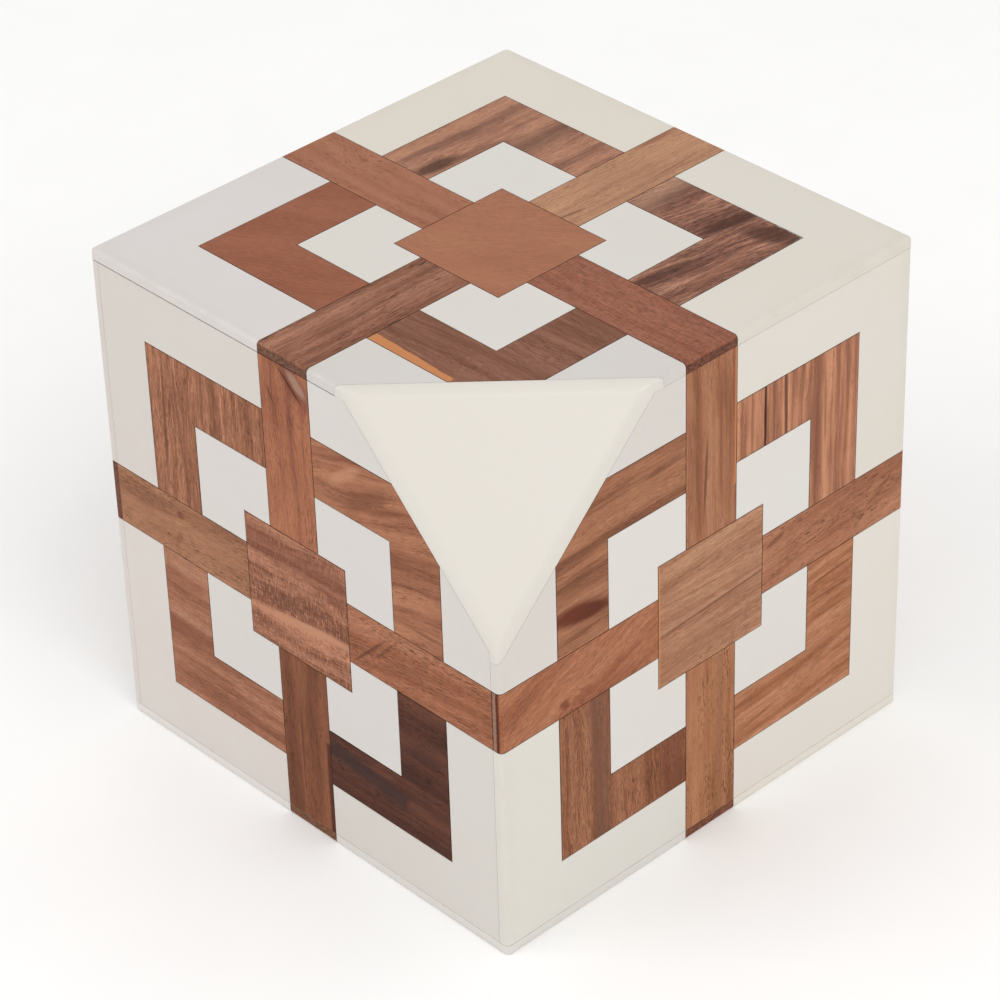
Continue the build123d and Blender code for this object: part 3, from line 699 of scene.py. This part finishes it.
# top face
wood("top_ring_mm", 28, (0.281, 0.106, 0.061), (0.308, 0.119, 0.071), (0.329, 0.131, 0.079), micro=0.052, band=9, band_s=0.7, fibre=0.35, pores=0.12, warp=2.0)
wood("top_ring_mp", 88, (0.272, 0.133, 0.092), (0.405, 0.199, 0.129), (0.461, 0.233, 0.148), micro=0.087, band=5, fibre=0.5, pores=0.2, warp=1.0,
     feats=[("band", -30.6, 46, 2.6, 12, 0, (0.10, 0.055, 0.043), 0.8, 0.45), ("streak", -40.5, 16, 10, 3.2, 84, (0.09, 0.045, 0.035), 0.85, 0.4),
            ("streak", -37.8, 30, 14, 2.0, 82, (0.15, 0.07, 0.05), 0.5, 0.5)])
wood("top_ring_pm", 2, (0.209, 0.093, 0.060), (0.250, 0.116, 0.077), (0.299, 0.145, 0.101), micro=0.059, band=3.2, band_s=0.9, fibre=0.8, pores=0.45, warp=0.9,
     feats=[("fill", 24, -53.9, 14.5, 1.7, -2, ORANGE, 1.0, 0.34)])
wood("top_ring_pp", 82, (0.182, 0.081, 0.059), (0.280, 0.133, 0.091), (0.461, 0.241, 0.163), micro=0.190, band=4.2, band_s=0.8, fibre=0.8, pores=0.45, warp=1.3,
     feats=[("band", 12.5, 46, 2.2, 12, 6, (0.42, 0.25, 0.17), 0.75, 0.5), ("streak", 36, 48, 13, 3.2, 78, CHOC, 0.85, 0.5),
            ("streak", 48, 50.5, 10, 5.0, 24, CHOC, 0.8, 0.6), ("streak", 41, 18, 14, 1.8, 84, CHOC, 0.6, 0.5), ("streak", 50, 30, 18, 1.6, 98, (0.33, 0.15, 0.09), 0.5, 0.5),
            ("fill", 55.1, 44, 13, 0.35, 90, (0.66, 0.62, 0.57), 0.95, 0.24), ("fill", 45, 55.1, 11, 0.3, 0, (0.66, 0.62, 0.57), 0.9, 0.22)])
wood("top_rib_pu", 0, (0.247, 0.092, 0.060), (0.287, 0.114, 0.073), (0.325, 0.137, 0.088), micro=0.127, band=6, fibre=0.5, pores=0.25, hatch=0.6, warp=1.0)
wood("top_rib_mu", 0, (0.349, 0.147, 0.089), (0.392, 0.170, 0.104), (0.424, 0.189, 0.115), micro=0.009, band=5, fibre=0.4, pores=0.4, warp=0.8,
     feats=[("knot", -57, 4.5, 5.0, 3.2, 0, (0.20, 0.07, 0.045), 0.45, 0.4)])
wood("top_rib_pv", 90, (0.410, 0.214, 0.128), (0.481, 0.258, 0.154), (0.533, 0.296, 0.178), micro=0.043, band=4, fibre=0.6, pores=0.4, warp=0.7,
     feats=[("streak", 3.2, 22, 6, 0.5, 82, (0.14, 0.065, 0.04), 0.6, 0.4), ("streak", 5.4, 58, 10, 0.5, 92, (0.20, 0.09, 0.055), 0.5, 0.4), ("streak", -8.2, 66, 9, 1.0, 90, (0.30, 0.12, 0.07), 0.7, 0.3)])
wood("top_rib_mv", 90, (0.248, 0.107, 0.068), (0.312, 0.144, 0.093), (0.368, 0.177, 0.117), micro=0.058, band=3, band_s=1.2, fibre=1.0, pores=0.75, warp=0.8, pore_len=1.5)
wood("top_centre", 35, (0.360, 0.153, 0.089), (0.385, 0.168, 0.099), (0.410, 0.187, 0.110), micro=0.044, band=14, band_s=0.5, fibre=0.3, pores=0.14, warp=2.5)

# front face
wood("front_ring_mm", 0, (0.274, 0.111, 0.064), (0.362, 0.159, 0.095), (0.410, 0.201, 0.124), micro=0.107, band=4.2, band_s=1.2, fibre=0.45, pores=0.3, warp=0.5,
     feats=[("band", -40, -33.5, 20, 2.6, 0, (0.22, 0.08, 0.048), 0.7, 0.4), ("band", -50, -18, 10, 2.0, 2, (0.26, 0.10, 0.06), 0.5, 0.5)])
wood("front_ring_mp", 90, (0.269, 0.111, 0.062), (0.331, 0.143, 0.083), (0.389, 0.176, 0.103), micro=0.149, band=2.6, band_s=1.4, fibre=0.9, pores=0.45, warp=0.9,
     feats=[("streak", -49.5, 32, 24, 0.8, 88, (0.13, 0.05, 0.032), 0.7, 0.5), ("streak", -44, 40, 18, 0.7, 92, (0.16, 0.065, 0.04), 0.6, 0.5), ("streak", -24, 46, 10, 0.5, 90, (0.17, 0.07, 0.04), 0.5, 0.5)])
wood("front_ring_pm", 2, (0.073, 0.031, 0.023), (0.097, 0.039, 0.028), (0.126, 0.051, 0.033), micro=0.077, band=5, band_s=1.4, fibre=0.7, pores=0.5, warp=1.2,
     feats=[("band", 22, -43.5, 17, 2.6, -6, (0.052, 0.030, 0.028), 0.8, 0.3), ("streak", 46, -26, 8, 2.5, 0, (0.06, 0.032, 0.028), 0.5, 0.4)])
wood("front_ring_pp", 14, (0.240, 0.095, 0.054), (0.331, 0.139, 0.080), (0.407, 0.181, 0.102), micro=0.045, band=3.6, band_s=1.2, fibre=0.5, pores=0.4, warp=1.3,
     feats=[("streak", 21, 49, 9, 1.8, 38, (0.48, 0.235, 0.14), 0.75, 0.4), ("streak", 29, 45, 12, 2.8, 36, (0.20, 0.085, 0.05), 0.6, 0.5), ("streak", 50, 14, 8, 0.8, 2, (0.15, 0.06, 0.04), 0.6, 0.5)])
wood("front_rib_pu", 8, (0.285, 0.109, 0.059), (0.349, 0.142, 0.080), (0.399, 0.176, 0.104), micro=0.105, band=5, fibre=0.6, pores=0.65, warp=1.0,
     feats=[("streak", 27, -2, 10, 0.6, 45, (0.12, 0.05, 0.035), 0.75, 0.35), ("streak", 33, 1, 9, 0.5, 48, (0.15, 0.06, 0.04), 0.6, 0.4), ("streak", 46, 1.5, 8, 1.2, 50, (0.27, 0.10, 0.06), 0.5, 0.4)])
wood("front_rib_mu", 4, (0.281, 0.125, 0.071), (0.334, 0.157, 0.088), (0.376, 0.182, 0.102), micro=0.081, band=5, fibre=0.55, pores=0.6, warp=1.4,
     feats=[("blot", -46.5, 4.5, 1.6, 1.2, 0, (0.14, 0.05, 0.03), 0.6, 0.4), ("streak", -48, -4, 4, 1.2, 60, (0.22, 0.09, 0.05), 0.5, 0.5)])
wood("front_rib_pv", 90, (0.266, 0.099, 0.057), (0.344, 0.135, 0.075), (0.393, 0.158, 0.087), micro=0.060, band=4, fibre=0.5, pores=0.45, warp=0.9,
     feats=[("blot", 4.2, 67.6, 9.0, 4.0, -44, (0.185, 0.066, 0.042), 0.85, 0.22), ("blot", 4.8, 68.4, 5.6, 1.9, -43, (0.36, 0.215, 0.155), 0.85, 0.2),
            ("streak", 2.2, 67.0, 8.0, 0.45, -44, (0.07, 0.028, 0.02), 0.85, 0.2), ("blot", 6.6, 62.0, 1.8, 4.2, -20, (0.27, 0.085, 0.055), 0.55, 0.5),
            ("blot", 1.8, 56.5, 2.2, 0.6, -70, (0.12, 0.05, 0.035), 0.6, 0.5), ("streak", -5.5, 61, 4.0, 0.45, -62, (0.12, 0.045, 0.03), 0.7, 0.3)])
wood("front_rib_mv", 90, (0.168, 0.064, 0.036), (0.216, 0.083, 0.045), (0.252, 0.100, 0.055), micro=0.054, band=4, band_s=1.1, fibre=0.7, pores=0.45, warp=1.0,
     feats=[("band", 8.6, -58, 16, 0.9, 90, (0.075, 0.025, 0.018), 0.85, 0.1), ("streak", -2, -45, 16, 0.5, 90, (0.10, 0.04, 0.025), 0.6, 0.4)])
wood("front_centre", 2, (0.218, 0.087, 0.052), (0.309, 0.136, 0.083), (0.413, 0.189, 0.116), micro=0.120, band=3.4, band_s=1.5, fibre=0.8, pores=0.4, hatch=0.95, warp=0.8,
     feats=[("band", 0, 12, 20, 4.2, -3, (0.20, 0.072, 0.045), 0.55, 0.5), ("streak", 3, -7.2, 24, 1.9, 7, (0.50, 0.245, 0.15), 0.9, 0.3)])

# right face
wood("right_ring_mm", 91, (0.218, 0.086, 0.046), (0.273, 0.113, 0.061), (0.309, 0.140, 0.079), micro=0.150, band=4.5, band_s=1.1, fibre=0.7, pores=0.45, warp=0.9,
     feats=[("band", -40.5, -32, 24, 3.0, 92, (0.17, 0.085, 0.058), 0.65, 0.4), ("band", -14, -46, 12, 3.5, 91, (0.155, 0.055, 0.035), 0.6, 0.4)])
wood("right_ring_mp", 2, (0.226, 0.095, 0.054), (0.327, 0.144, 0.081), (0.381, 0.176, 0.100), micro=0.068, band=3.6, band_s=1.1, fibre=0.5, pores=0.35, warp=0.6,
     feats=[("streak", -46, 19.5, 13, 3.4, -8, DARKRED, 0.92, 0.28), ("streak", -52, 21, 8, 3.0, 0, (0.16, 0.045, 0.026), 0.6, 0.3)])
wood("right_ring_pm", 6, (0.329, 0.130, 0.066), (0.395, 0.171, 0.090), (0.459, 0.215, 0.121), micro=0.069, band=3.4, band_s=1.3, fibre=0.7, pores=0.4, warp=0.7,
     feats=[("streak", 46, -16, 10, 0.6, 4, (0.17, 0.065, 0.035), 0.7, 0.5), ("streak", 47, -22, 9, 0.5, 2, (0.17, 0.065, 0.035), 0.7, 0.5), ("streak", 46, -28, 9, 0.5, 3, (0.19, 0.075, 0.04), 0.6, 0.5),
            ("streak", 18, -49, 9, 0.5, 10, (0.19, 0.075, 0.04), 0.6, 0.5), ("fill", 35.2, -36.4, 1.6, 0.3, -10, (0.62, 0.42, 0.27), 0.9, 0.1)])
wood("right_ring_pp", 90, (0.322, 0.137, 0.081), (0.460, 0.209, 0.123), (0.548, 0.262, 0.153), micro=0.021, band=3.2, band_s=1.2, fibre=0.6, pores=0.35, warp=0.45,
     feats=[("streak", 19.8, 46, 18, 0.55, 90, (0.035, 0.016, 0.012), 0.95, 0.3), ("streak", 27.5, 46, 18, 0.8, 91, (0.10, 0.04, 0.028), 0.85, 0.35), ("streak", 23, 46, 18, 0.5, 90, (0.16, 0.07, 0.045), 0.6, 0.4),
            ("streak", 15, 46, 16, 0.6, 90, (0.19, 0.085, 0.05), 0.6, 0.4), ("streak", 39.5, 30, 22, 0.8, 89, (0.20, 0.08, 0.05), 0.65, 0.5), ("streak", 42.5, 40, 16, 0.6, 91, (0.19, 0.08, 0.05), 0.5, 0.5)])
wood("right_rib_pu", 6, (0.311, 0.126, 0.070), (0.374, 0.165, 0.095), (0.430, 0.200, 0.119), micro=0.066, band=5, fibre=0.6, pores=0.7, warp=0.9,
     feats=[("blot", 24, 5.2, 4, 1.0, 15, (0.15, 0.055, 0.035), 0.6, 0.5), ("streak", 66, 2, 8, 1.2, 30, (0.25, 0.085, 0.045), 0.5, 0.5)])
wood("right_rib_mu", 24, (0.274, 0.103, 0.057), (0.355, 0.144, 0.079), (0.407, 0.177, 0.100), micro=0.119, band_s=0.7, band=6, fibre=0.35, pores=0.35, warp=0.9,
     end=[(0.0, (0.20, 0.085, 0.05)), (0.10, (0.075, 0.022, 0.015)), (0.48, (0.085, 0.028, 0.02)), (0.58, (0.27, 0.155, 0.11)), (0.86, (0.30, 0.18, 0.13)), (0.97, (0.05, 0.02, 0.015))],
     feats=[("knot", -53, -5.5, 5.5, -4.0, 0, (0.17, 0.055, 0.032), 0.7, 0.35), ("blot", -44, -5.5, 4, 1.4, -20, (0.26, 0.09, 0.05), 0.5, 0.4)])
wood("right_rib_pv", 91, (0.281, 0.112, 0.062), (0.346, 0.153, 0.086), (0.399, 0.189, 0.109), micro=0.033, band=3.2, band_s=1.3, fibre=0.6, pores=0.4, warp=0.5,
     feats=[("streak", -2, 38, 14, 0.6, 87, (0.15, 0.055, 0.035), 0.7, 0.4), ("streak", 3.5, 55, 16, 0.5, 90, (0.20, 0.08, 0.05), 0.5, 0.5), ("band", 9.0, 52, 21, 0.5, 90, ORANGE, 0.8, 0.05)])
wood("right_rib_mv", 90, (0.296, 0.120, 0.058), (0.371, 0.162, 0.083), (0.424, 0.198, 0.102), micro=0.013, band=3.4, band_s=1.1, fibre=0.55, pores=0.75, warp=0.8, pore_len=0.8,
     feats=[("band", 3.4, -48, 28, 1.4, 90, (0.28, 0.125, 0.07), 0.55, 0.3)])
wood("right_centre", 2, (0.324, 0.153, 0.089), (0.386, 0.193, 0.115), (0.448, 0.235, 0.142), micro=0.080, band=3.2, band_s=1.0, fibre=0.55, pores=0.35, warp=0.9,
     feats=[("streak", 4, -2.2, 26, 0.55, 3, (0.17, 0.075, 0.045), 0.75, 0.35), ("streak", -6, 5, 16, 0.5, -3, (0.24, 0.115, 0.07), 0.6, 0.5), ("band", -19.1, 0, 19.5, 0.35, 90, ORANGE, 0.9, 0.03)])

# Faces that stand away from the camera borrow the same woods in another order.
HIDDEN = {
    "back": ("right", {"ring_mm": "ring_pm", "ring_mp": "ring_pp", "ring_pm": "ring_mm", "ring_pp": "ring_mp",
                       "rib_pu": "rib_mu", "rib_mu": "rib_pu", "rib_pv": "rib_mv", "rib_mv": "rib_pv", "centre": "centre"}),
    "left": ("top", {"ring_mm": "ring_mp", "ring_mp": "ring_mm", "ring_pm": "ring_pp", "ring_pp": "ring_pm",
                     "rib_pu": "rib_mu", "rib_mu": "rib_pu", "rib_pv": "rib_mv", "rib_mv": "rib_pv", "centre": "centre"}),
    "bottom": ("front", {"ring_mm": "ring_pp", "ring_mp": "ring_pm", "ring_pm": "ring_mp", "ring_pp": "ring_mm",
                         "rib_pu": "rib_pv", "rib_mu": "rib_mv", "rib_pv": "rib_pu", "rib_mv": "rib_mu", "centre": "centre"}),
}
for face, (src, table) in HIDDEN.items():
    for key, other in table.items():
        d = dict(W[f"{src}_{other}"])
        d["feats"] = ()
        along_v = key in ("rib_pv", "rib_mv")
        along_u = key in ("rib_pu", "rib_mu")
        if along_v:
            d["angle"] = 90
        elif along_u:
            d["angle"] = 0
        W[f"{face}_{key}"] = d

wood_mats = {}
for n_, (key, d) in enumerate(sorted(W.items())):
    face = key.split("_")[0]
    wood_mats[key] = hardwood("wood_" + key, face, seed=n_ + 1, **d)

RESIN_LIT = {"top": 1.105, "front": 1.110, "right": 1.112}
RESIN = {                       # how each casting looks under the studio light
    "top": {"inner": (0.701, 0.678, 0.640), "mm": (0.689, 0.655, 0.644), "mp": (0.722, 0.674, 0.602),
            "pm": (0.653, 0.626, 0.605), "pp": (0.709, 0.672, 0.607)},
    "front": {"inner": (0.695, 0.665, 0.646), "mm": (0.710, 0.663, 0.627), "mp": (0.677, 0.628, 0.586),
              "pm": (0.694, 0.665, 0.631), "pp": (0.693, 0.662, 0.634)},
    "right": {"inner": (0.741, 0.715, 0.685), "mm": (0.740, 0.717, 0.663), "mp": (0.690, 0.655, 0.625),
              "pm": (0.779, 0.737, 0.680), "pp": (0.738, 0.697, 0.636)},
}
for face, src in (("back", "right"), ("left", "front"), ("bottom", "top")):
    RESIN[face] = RESIN[src]
    RESIN_LIT[face] = RESIN_LIT[src]
resins = {}
for i_, face in enumerate(FACES):
    for j_, (key, c_) in enumerate(RESIN[face].items()):
        # painted light: the bottom face's castings are made 1.16 times lighter, so the foot band next to the floor
        # shows less of the shade that falls there
        c_ = times(c_, (1.16 if face == "bottom" else 1.0) / RESIN_LIT[face])
        warm = (c_[0] * 0.985, c_[1] * 0.965, c_[2] * 0.93)
        resins[f"{face}_{key}"] = resin(f"resin_{face}_{key}", c_, warm, 1.0, 10 * i_ + j_)
FACET_C = times((0.803, 0.766, 0.707), 1 / 1.235)
resin_facet = resin("resin_facet", FACET_C, (FACET_C[0] * 0.99, FACET_C[1] * 0.98, FACET_C[2] * 0.955), 0.3, 97, rough=0.33)
glue_dark = glue_mat("glue_dark", (0.020, 0.012, 0.009), (0.085, 0.045, 0.028), 0.5)
glue_pale = glue_mat("glue_pale", (0.30, 0.24, 0.18), (0.56, 0.49, 0.40), 0.46)
glue_foot = glue_mat("glue_foot", (0.16, 0.13, 0.10), (0.52, 0.48, 0.42), 0.5)
glue_arris = glue_mat("glue_arris", (0.07, 0.065, 0.065), (0.46, 0.43, 0.40), 0.5)
glue_seam = glue_mat("glue_seam", (0.10, 0.07, 0.05), (0.42, 0.34, 0.25), 0.5)
glue_orange = glue_mat("glue_orange", (0.36, 0.14, 0.05), (0.58, 0.38, 0.24), 0.5)

# ------------------------------------------------------------------ tiles
GROUPS = {
    "outer_resin": ["outer_mm", "outer_mp", "outer_pm", "outer_pp"],
    "ring_wood": ["ring_mm", "ring_mp", "ring_pm", "ring_pp"],
    "inner_resin": ["inner_mm", "inner_mp", "inner_pm", "inner_pp"],
    "ribbons": ["rib_mu", "rib_pu", "rib_mv", "rib_pv"],
    "centre_tile": ["centre"],
}


def tile_mat(face, key):
    if f"{face}_{key}" in wood_mats:
        return wood_mats[f"{face}_{key}"]
    return resins[f"{face}_{key[6:] if key.startswith('outer') else 'inner'}"]


for face in FACES:
    prefix = "lid" if face == "top" else face
    body = "lid" if face == "top" else "box"
    for group, keys in GROUPS.items():
        if face == "left" and group == "centre_tile":
            continue
        parts = []
        for key in keys:
            me = boolean(prism(face, key, -4.0, 2.0), layer_objects[face])
            if len(me.polygons):
                parts.append((me, tile_mat(face, key)))
        node = f"{prefix}_{group}"
        add_piece("tiles_" + node, parts, body, [node])

# the strip of the back face that leaves with the lid
parts = [(boolean(prism("back", k, -4.0, 2.0), layer_objects["trim"]), tile_mat("back", k)) for k in ("outer_mp", "outer_pp")]
add_piece("tiles_lid_back_resin", parts, "lid", ["lid_back_resin"])
parts = [(boolean(prism("back", "rib_pv", -4.0, 2.0), layer_objects["trim"]), wood_mats["back_rib_pv"])]
add_piece("tiles_lid_back_ribbon", parts, "lid", ["lid_back_ribbon"])


# the push button: the left face's centre square, with its edges eased by use
def button_key(u, v):
    s = CEN + E - 0.3
    return "button" if abs(u) < s and abs(v) < s else "out"


s_ = CEN + E - 0.3
bm = prism("left", "button", -TILE, 0.0, [-s_, s_], button_key)
bmesh.ops.bevel(bm, geom=[e_ for e_ in bm.edges if all(abs(v.co.x + HALF * MM) < 1e-6 for v in e_.verts)],
                offset=0.35 * MM, segments=3, profile=0.5, affect="EDGES")
add_piece("tile_button", [(mesh_from(bm, "button"), wood_mats["left_centre"])], "button", ["button_tile"])

# ------------------------------------------------------------------ cut corner
# The plate wraps round the three arrises and butts against the ends of the tiles.
plate_bm = envelope()
slice_bm(plate_bm, facet_c - facet_n * (TILE + 1.3), -facet_n)
slice_bm(plate_bm, *plate_cut("top"))
bmesh.ops.recalc_face_normals(plate_bm, faces=plate_bm.faces)
plate_me = mesh_from(plate_bm, "plate")
plate_bm.free()
for lo, hi, face in (((-90, -CORE, -9), (CORE, 90, LID_Z), None),
                     ((-90, -90, -9), (CORE, -CORE + 0.02, WALL_Z + 0.03), "front"),
                     ((CORE - 0.02, -90, -9), (90, 90, RIGHT_TOP + 0.03), "right")):
    bed = bmesh.new()
    for v in bmesh.ops.create_cube(bed, size=1.0)["verts"]:
        v.co = Vector([(lo[k] if v.co[k] < 0 else hi[k]) * MM for k in range(3)])
    if face:
        co, no = ENDS[face]
        slice_bm(bed, co - no * GAP, -no)
    else:                       # over the carcass the plate is no thicker than the tiles
        slice_bm(bed, facet_c - facet_n * TILE, facet_n)
    bmesh.ops.recalc_face_normals(bed, faces=bed.faces)
    plate_me = boolean(plate_me, scratch_object("bed", mesh_from(bed, "bed")), "DIFFERENCE")
    bed.free()
add_piece("plate_facet", [(plate_me, resin_facet)], "box", ["facet_plate"])

# ------------------------------------------------------------------ glue lines
DEEP = 0.10    # glue lies this much below the surface


def glue_layer(key, lo, hi, planes=()):
    bm = layer(lo, hi, planes, inset=DEEP)
    ob = scratch_object("glue_layer_" + key, mesh_from(bm, "gl_" + key))
    bm.free()
    return ob


GL = {
    "top": glue_layer("top", (-BIG, -BIG, LID_Z + 0.2), (BIG, BIG, BIG), [end_cut("top", 0.2)]),
    "front": glue_layer("front", (-CORE + END, -BIG, TILE + 0.3), (CORE - END, -CORE - 0.6, WALL_Z - 0.1), [end_cut("front", 0.2)]),
    "right": glue_layer("right", (CORE + 0.6, -BIG, TILE + 0.3), (BIG, BIG, RIGHT_TOP - 0.1), [end_cut("right", 0.2)]),
    "back": glue_layer("back", (-CORE + END, CORE + 0.6, TILE + 0.3), (CORE - END, BIG, BACK_Z - 0.1)),
    "left": glue_layer("left", (-BIG, -BIG, TILE + 0.3), (-CORE - 0.6, BIG, WALL_Z - 0.1)),
    "bottom": glue_layer("bottom", (-BIG, -BIG, -BIG), (BIG, BIG, TILE - 0.4)),
}
for face in FACES:
    def glue_key(u, v, face=face):
        if face == "left" and abs(u) < CEN + E and abs(v) < CEN + E:
            return "none"          # open gap round the button
        return "g" if tile_key(u, v) == "glue" else "none"
    me = boolean(prism(face, "g", -4.0, 2.0, key=glue_key, dissolve=False), GL[face])
    add_piece("glue_" + ("lid" if face == "top" else face), [(me, glue_dark)], "lid" if face == "top" else "box")


def strip(name, lo, hi, mat, body, inset=DEEP, planes=()):
    bm = layer(lo, hi, planes, inset=inset)
    if len(bm.faces) > 3:
        add_piece(name, [(mesh_from(bm, name), mat)], body)
    bm.free()


# seams where one face's tiles cover the next one's ends
strip("seam_front_right", (CORE - END, -BIG, TILE + 0.2), (CORE, -CORE, 130.0), glue_seam, "box", 0.06, planes=[end_cut("front", 0.1), end_cut("right", 0.1)])
strip("seam_front_left", (-CORE, -BIG, TILE + 0.2), (-CORE + END, -CORE, WALL_Z - 0.2), glue_seam, "box", 0.06)
strip("seam_back_right", (CORE - END, CORE, TILE + 0.2), (CORE, BIG, BACK_Z - 0.2), glue_seam, "box", 0.06)
strip("seam_back_left", (-CORE, CORE, TILE + 0.2), (-CORE + END, BIG, BACK_Z - 0.2), glue_seam, "box", 0.06)
strip("seam_foot_front", (-CORE, -BIG, TILE), (CORE, -CORE - 0.3, TILE + FOOT), glue_foot, "box", 0.06)
strip("seam_foot_right", (CORE + 0.3, -BIG, TILE), (BIG, BIG, TILE + FOOT), glue_foot, "box", 0.06)
strip("seam_foot_left", (-BIG, -BIG, TILE), (-CORE - 0.3, BIG, TILE + FOOT), glue_foot, "box", 0.06)
strip("seam_foot_back", (-CORE, CORE + 0.3, TILE), (CORE, BIG, TILE + FOOT), glue_foot, "box", 0.06)
strip("seam_lid_front", (-CORE, -BIG, WALL_Z), (CORE, -CORE - 0.3, WALL_Z + 0.1), glue_dark, "box", 0.2, planes=[end_cut("front", 0.1), end_cut("top", 0.1)])
strip("seam_lid_right", (CORE + 0.3, -BIG, RIGHT_TOP), (BIG, BIG, RIGHT_TOP + 0.04), glue_pale, "box", 0.1, planes=[end_cut("right", 0.1), end_cut("top", 0.1)])

# fine filler between the tiles and the plate of the cut corner
for key, mat, body, a_, b_, hi in (("front", glue_arris, "box", -GAP, GAP, (CORE, BIG, WALL_Z)),
                                   ("right", glue_pale, "box", -GAP, GAP, (BIG, BIG, WALL_Z)),
                                   ("top", glue_orange, "lid", 0.0, GAP, (BIG, BIG, BIG))):
    co, no = ENDS[key]
    planes = [(co + no * b_, no), (co + no * a_, -no), (facet_c - facet_n * 1.2, -facet_n)]
    strip("seam_facet_" + key, (-BIG, -BIG, -BIG), hi, mat, body, 0.05, planes)

# ------------------------------------------------------------------ carcass and mechanism
nodes = frame["nodes"]
X_, Y_, Z_ = (1, 0, 0), (0, 1, 0), (0, 0, 1)
PINE = ((0.36, 0.20, 0.10), (0.52, 0.33, 0.18), (0.62, 0.43, 0.25))
PALE = ((0.42, 0.27, 0.14), (0.58, 0.42, 0.25), (0.68, 0.52, 0.33))
boards = {
    "floor_board": (PINE, X_, Y_, Z_), "lid_board": (PINE, Y_, (-1, 0, 0), Z_),
    "left_wall": (PINE, Y_, Z_, X_), "right_wall": (PINE, Y_, Z_, X_),
    "front_wall": (PINE, X_, Z_, (0, -1, 0)), "back_wall": (PINE, X_, Z_, (0, -1, 0)),
    "corner_block": (PALE, Z_, X_, Y_), "lid_cleat": (PALE, Y_, (-1, 0, 0), Z_),
    "spring_block": (PALE, Z_, X_, Y_), "button_stem": (PALE, X_, Y_, Z_),
}
for i_, (n_, (cols, g_, c_, m_)) in enumerate(boards.items()):
    mat = board_mat("board_" + n_, *cols, g_, c_, m_, 40 + i_)
    o_ = nodes[n_]
    o_.data.materials.clear()
    o_.data.materials.append(mat)
brass = metal_mat("satin_brass", (0.72, 0.52, 0.24), (0.42, 0.27, 0.12), 0.34, 2, 5)
steel = metal_mat("spring_strip", (0.60, 0.60, 0.61), (0.36, 0.36, 0.38), 0.3, 2, 9)
felt = felt_mat("liner_felt", (0.060, 0.012, 0.014), (0.13, 0.03, 0.03))
for n_, mat in (("floor_screws", brass), ("cleat_screws", brass), ("latch_screws", brass),
                ("stem_collar", brass), ("latch_spring", steel), ("felt_liner", felt)):
    o_ = nodes[n_]
    o_.data.materials.clear()
    o_.data.materials.append(mat)

for ob in list(scratch.objects):
    bpy.data.objects.remove(ob)
bpy.data.collections.remove(scratch)

# ------------------------------------------------------------------ stage
bm = bmesh.new()
bmesh.ops.create_grid(bm, x_segments=8, y_segments=8, size=6.0)
floor_me = mesh_from(bm, "floor")
floor = bpy.data.objects.new("floor", floor_me)
bpy.context.scene.collection.objects.link(floor)
net = Net("paper_floor")
pf = net.mapping(net.coords(), (0, 0, 0), (0, 0, 0), (1000, 1000, 1000))
fn = net.noise(pf, 0.02, 3.0, 0.6)
fc = net.mix(net.ramp(fn, 0.3, 0.7), (0.93, 0.93, 0.93), (0.945, 0.945, 0.94))
floor_me.materials.append(net.finish(fc, 0.9, fn, bump=0.02, dist=0.0002, **{"Specular IOR Level": 0.1}))

world = bpy.data.worlds.new("studio")
bpy.context.scene.world = world
world.use_nodes = True
world.node_tree.nodes["Background"].inputs[0].default_value = (1.0, 0.997, 0.99, 1)
world.node_tree.nodes["Background"].inputs[1].default_value = 0.80


def softbox(name, pos, target, size, watts, colour=(1, 1, 1)):
    l_ = bpy.data.lights.new(name, "AREA")
    l_.shape, l_.size, l_.energy, l_.color = "SQUARE", size, watts, colour
    o_ = bpy.data.objects.new(name, l_)
    o_.location = pos
    o_.rotation_euler = (Vector(target) - Vector(pos)).to_track_quat("-Z", "Y").to_euler()
    bpy.context.scene.collection.objects.link(o_)
    return o_


softbox("key", (1.3, -0.35, 1.5), (0, 0, 0.07), 1.3, 13.0, (1.0, 0.99, 0.975))
softbox("fill", (-0.7, -1.5, 1.2), (0, 0, 0.07), 1.3, 8.0, (0.985, 0.99, 1.0))

# ------------------------------------------------------------------ camera
AZ, EL, ROLL = math.radians(47.046), math.radians(34.596), math.radians(-1.845)
fwd = -Vector((math.sin(AZ) * math.cos(EL), -math.cos(AZ) * math.cos(EL), math.sin(EL)))
right = Vector((math.cos(AZ), math.sin(AZ), 0))
up = right.cross(fwd)
r2 = right * math.cos(ROLL) + up * math.sin(ROLL)
u2 = -right * math.sin(ROLL) + up * math.cos(ROLL)
cam_data = bpy.data.cameras.new("camera")
cam_data.sensor_width = 36.0
cam_data.lens = 36.0 * 3.8864
cam_data.clip_start, cam_data.clip_end = 0.05, 30.0
cam = bpy.data.objects.new("camera", cam_data)
m = Matrix((r2, u2, -fwd)).transposed().to_4x4()
m.translation = Vector((628.27, -587.85, 662.84)) * MM
cam.matrix_world = m
bpy.context.scene.collection.objects.link(cam)
bpy.context.scene.camera = cam
bpy.context.scene.view_settings.view_transform = "Standard"
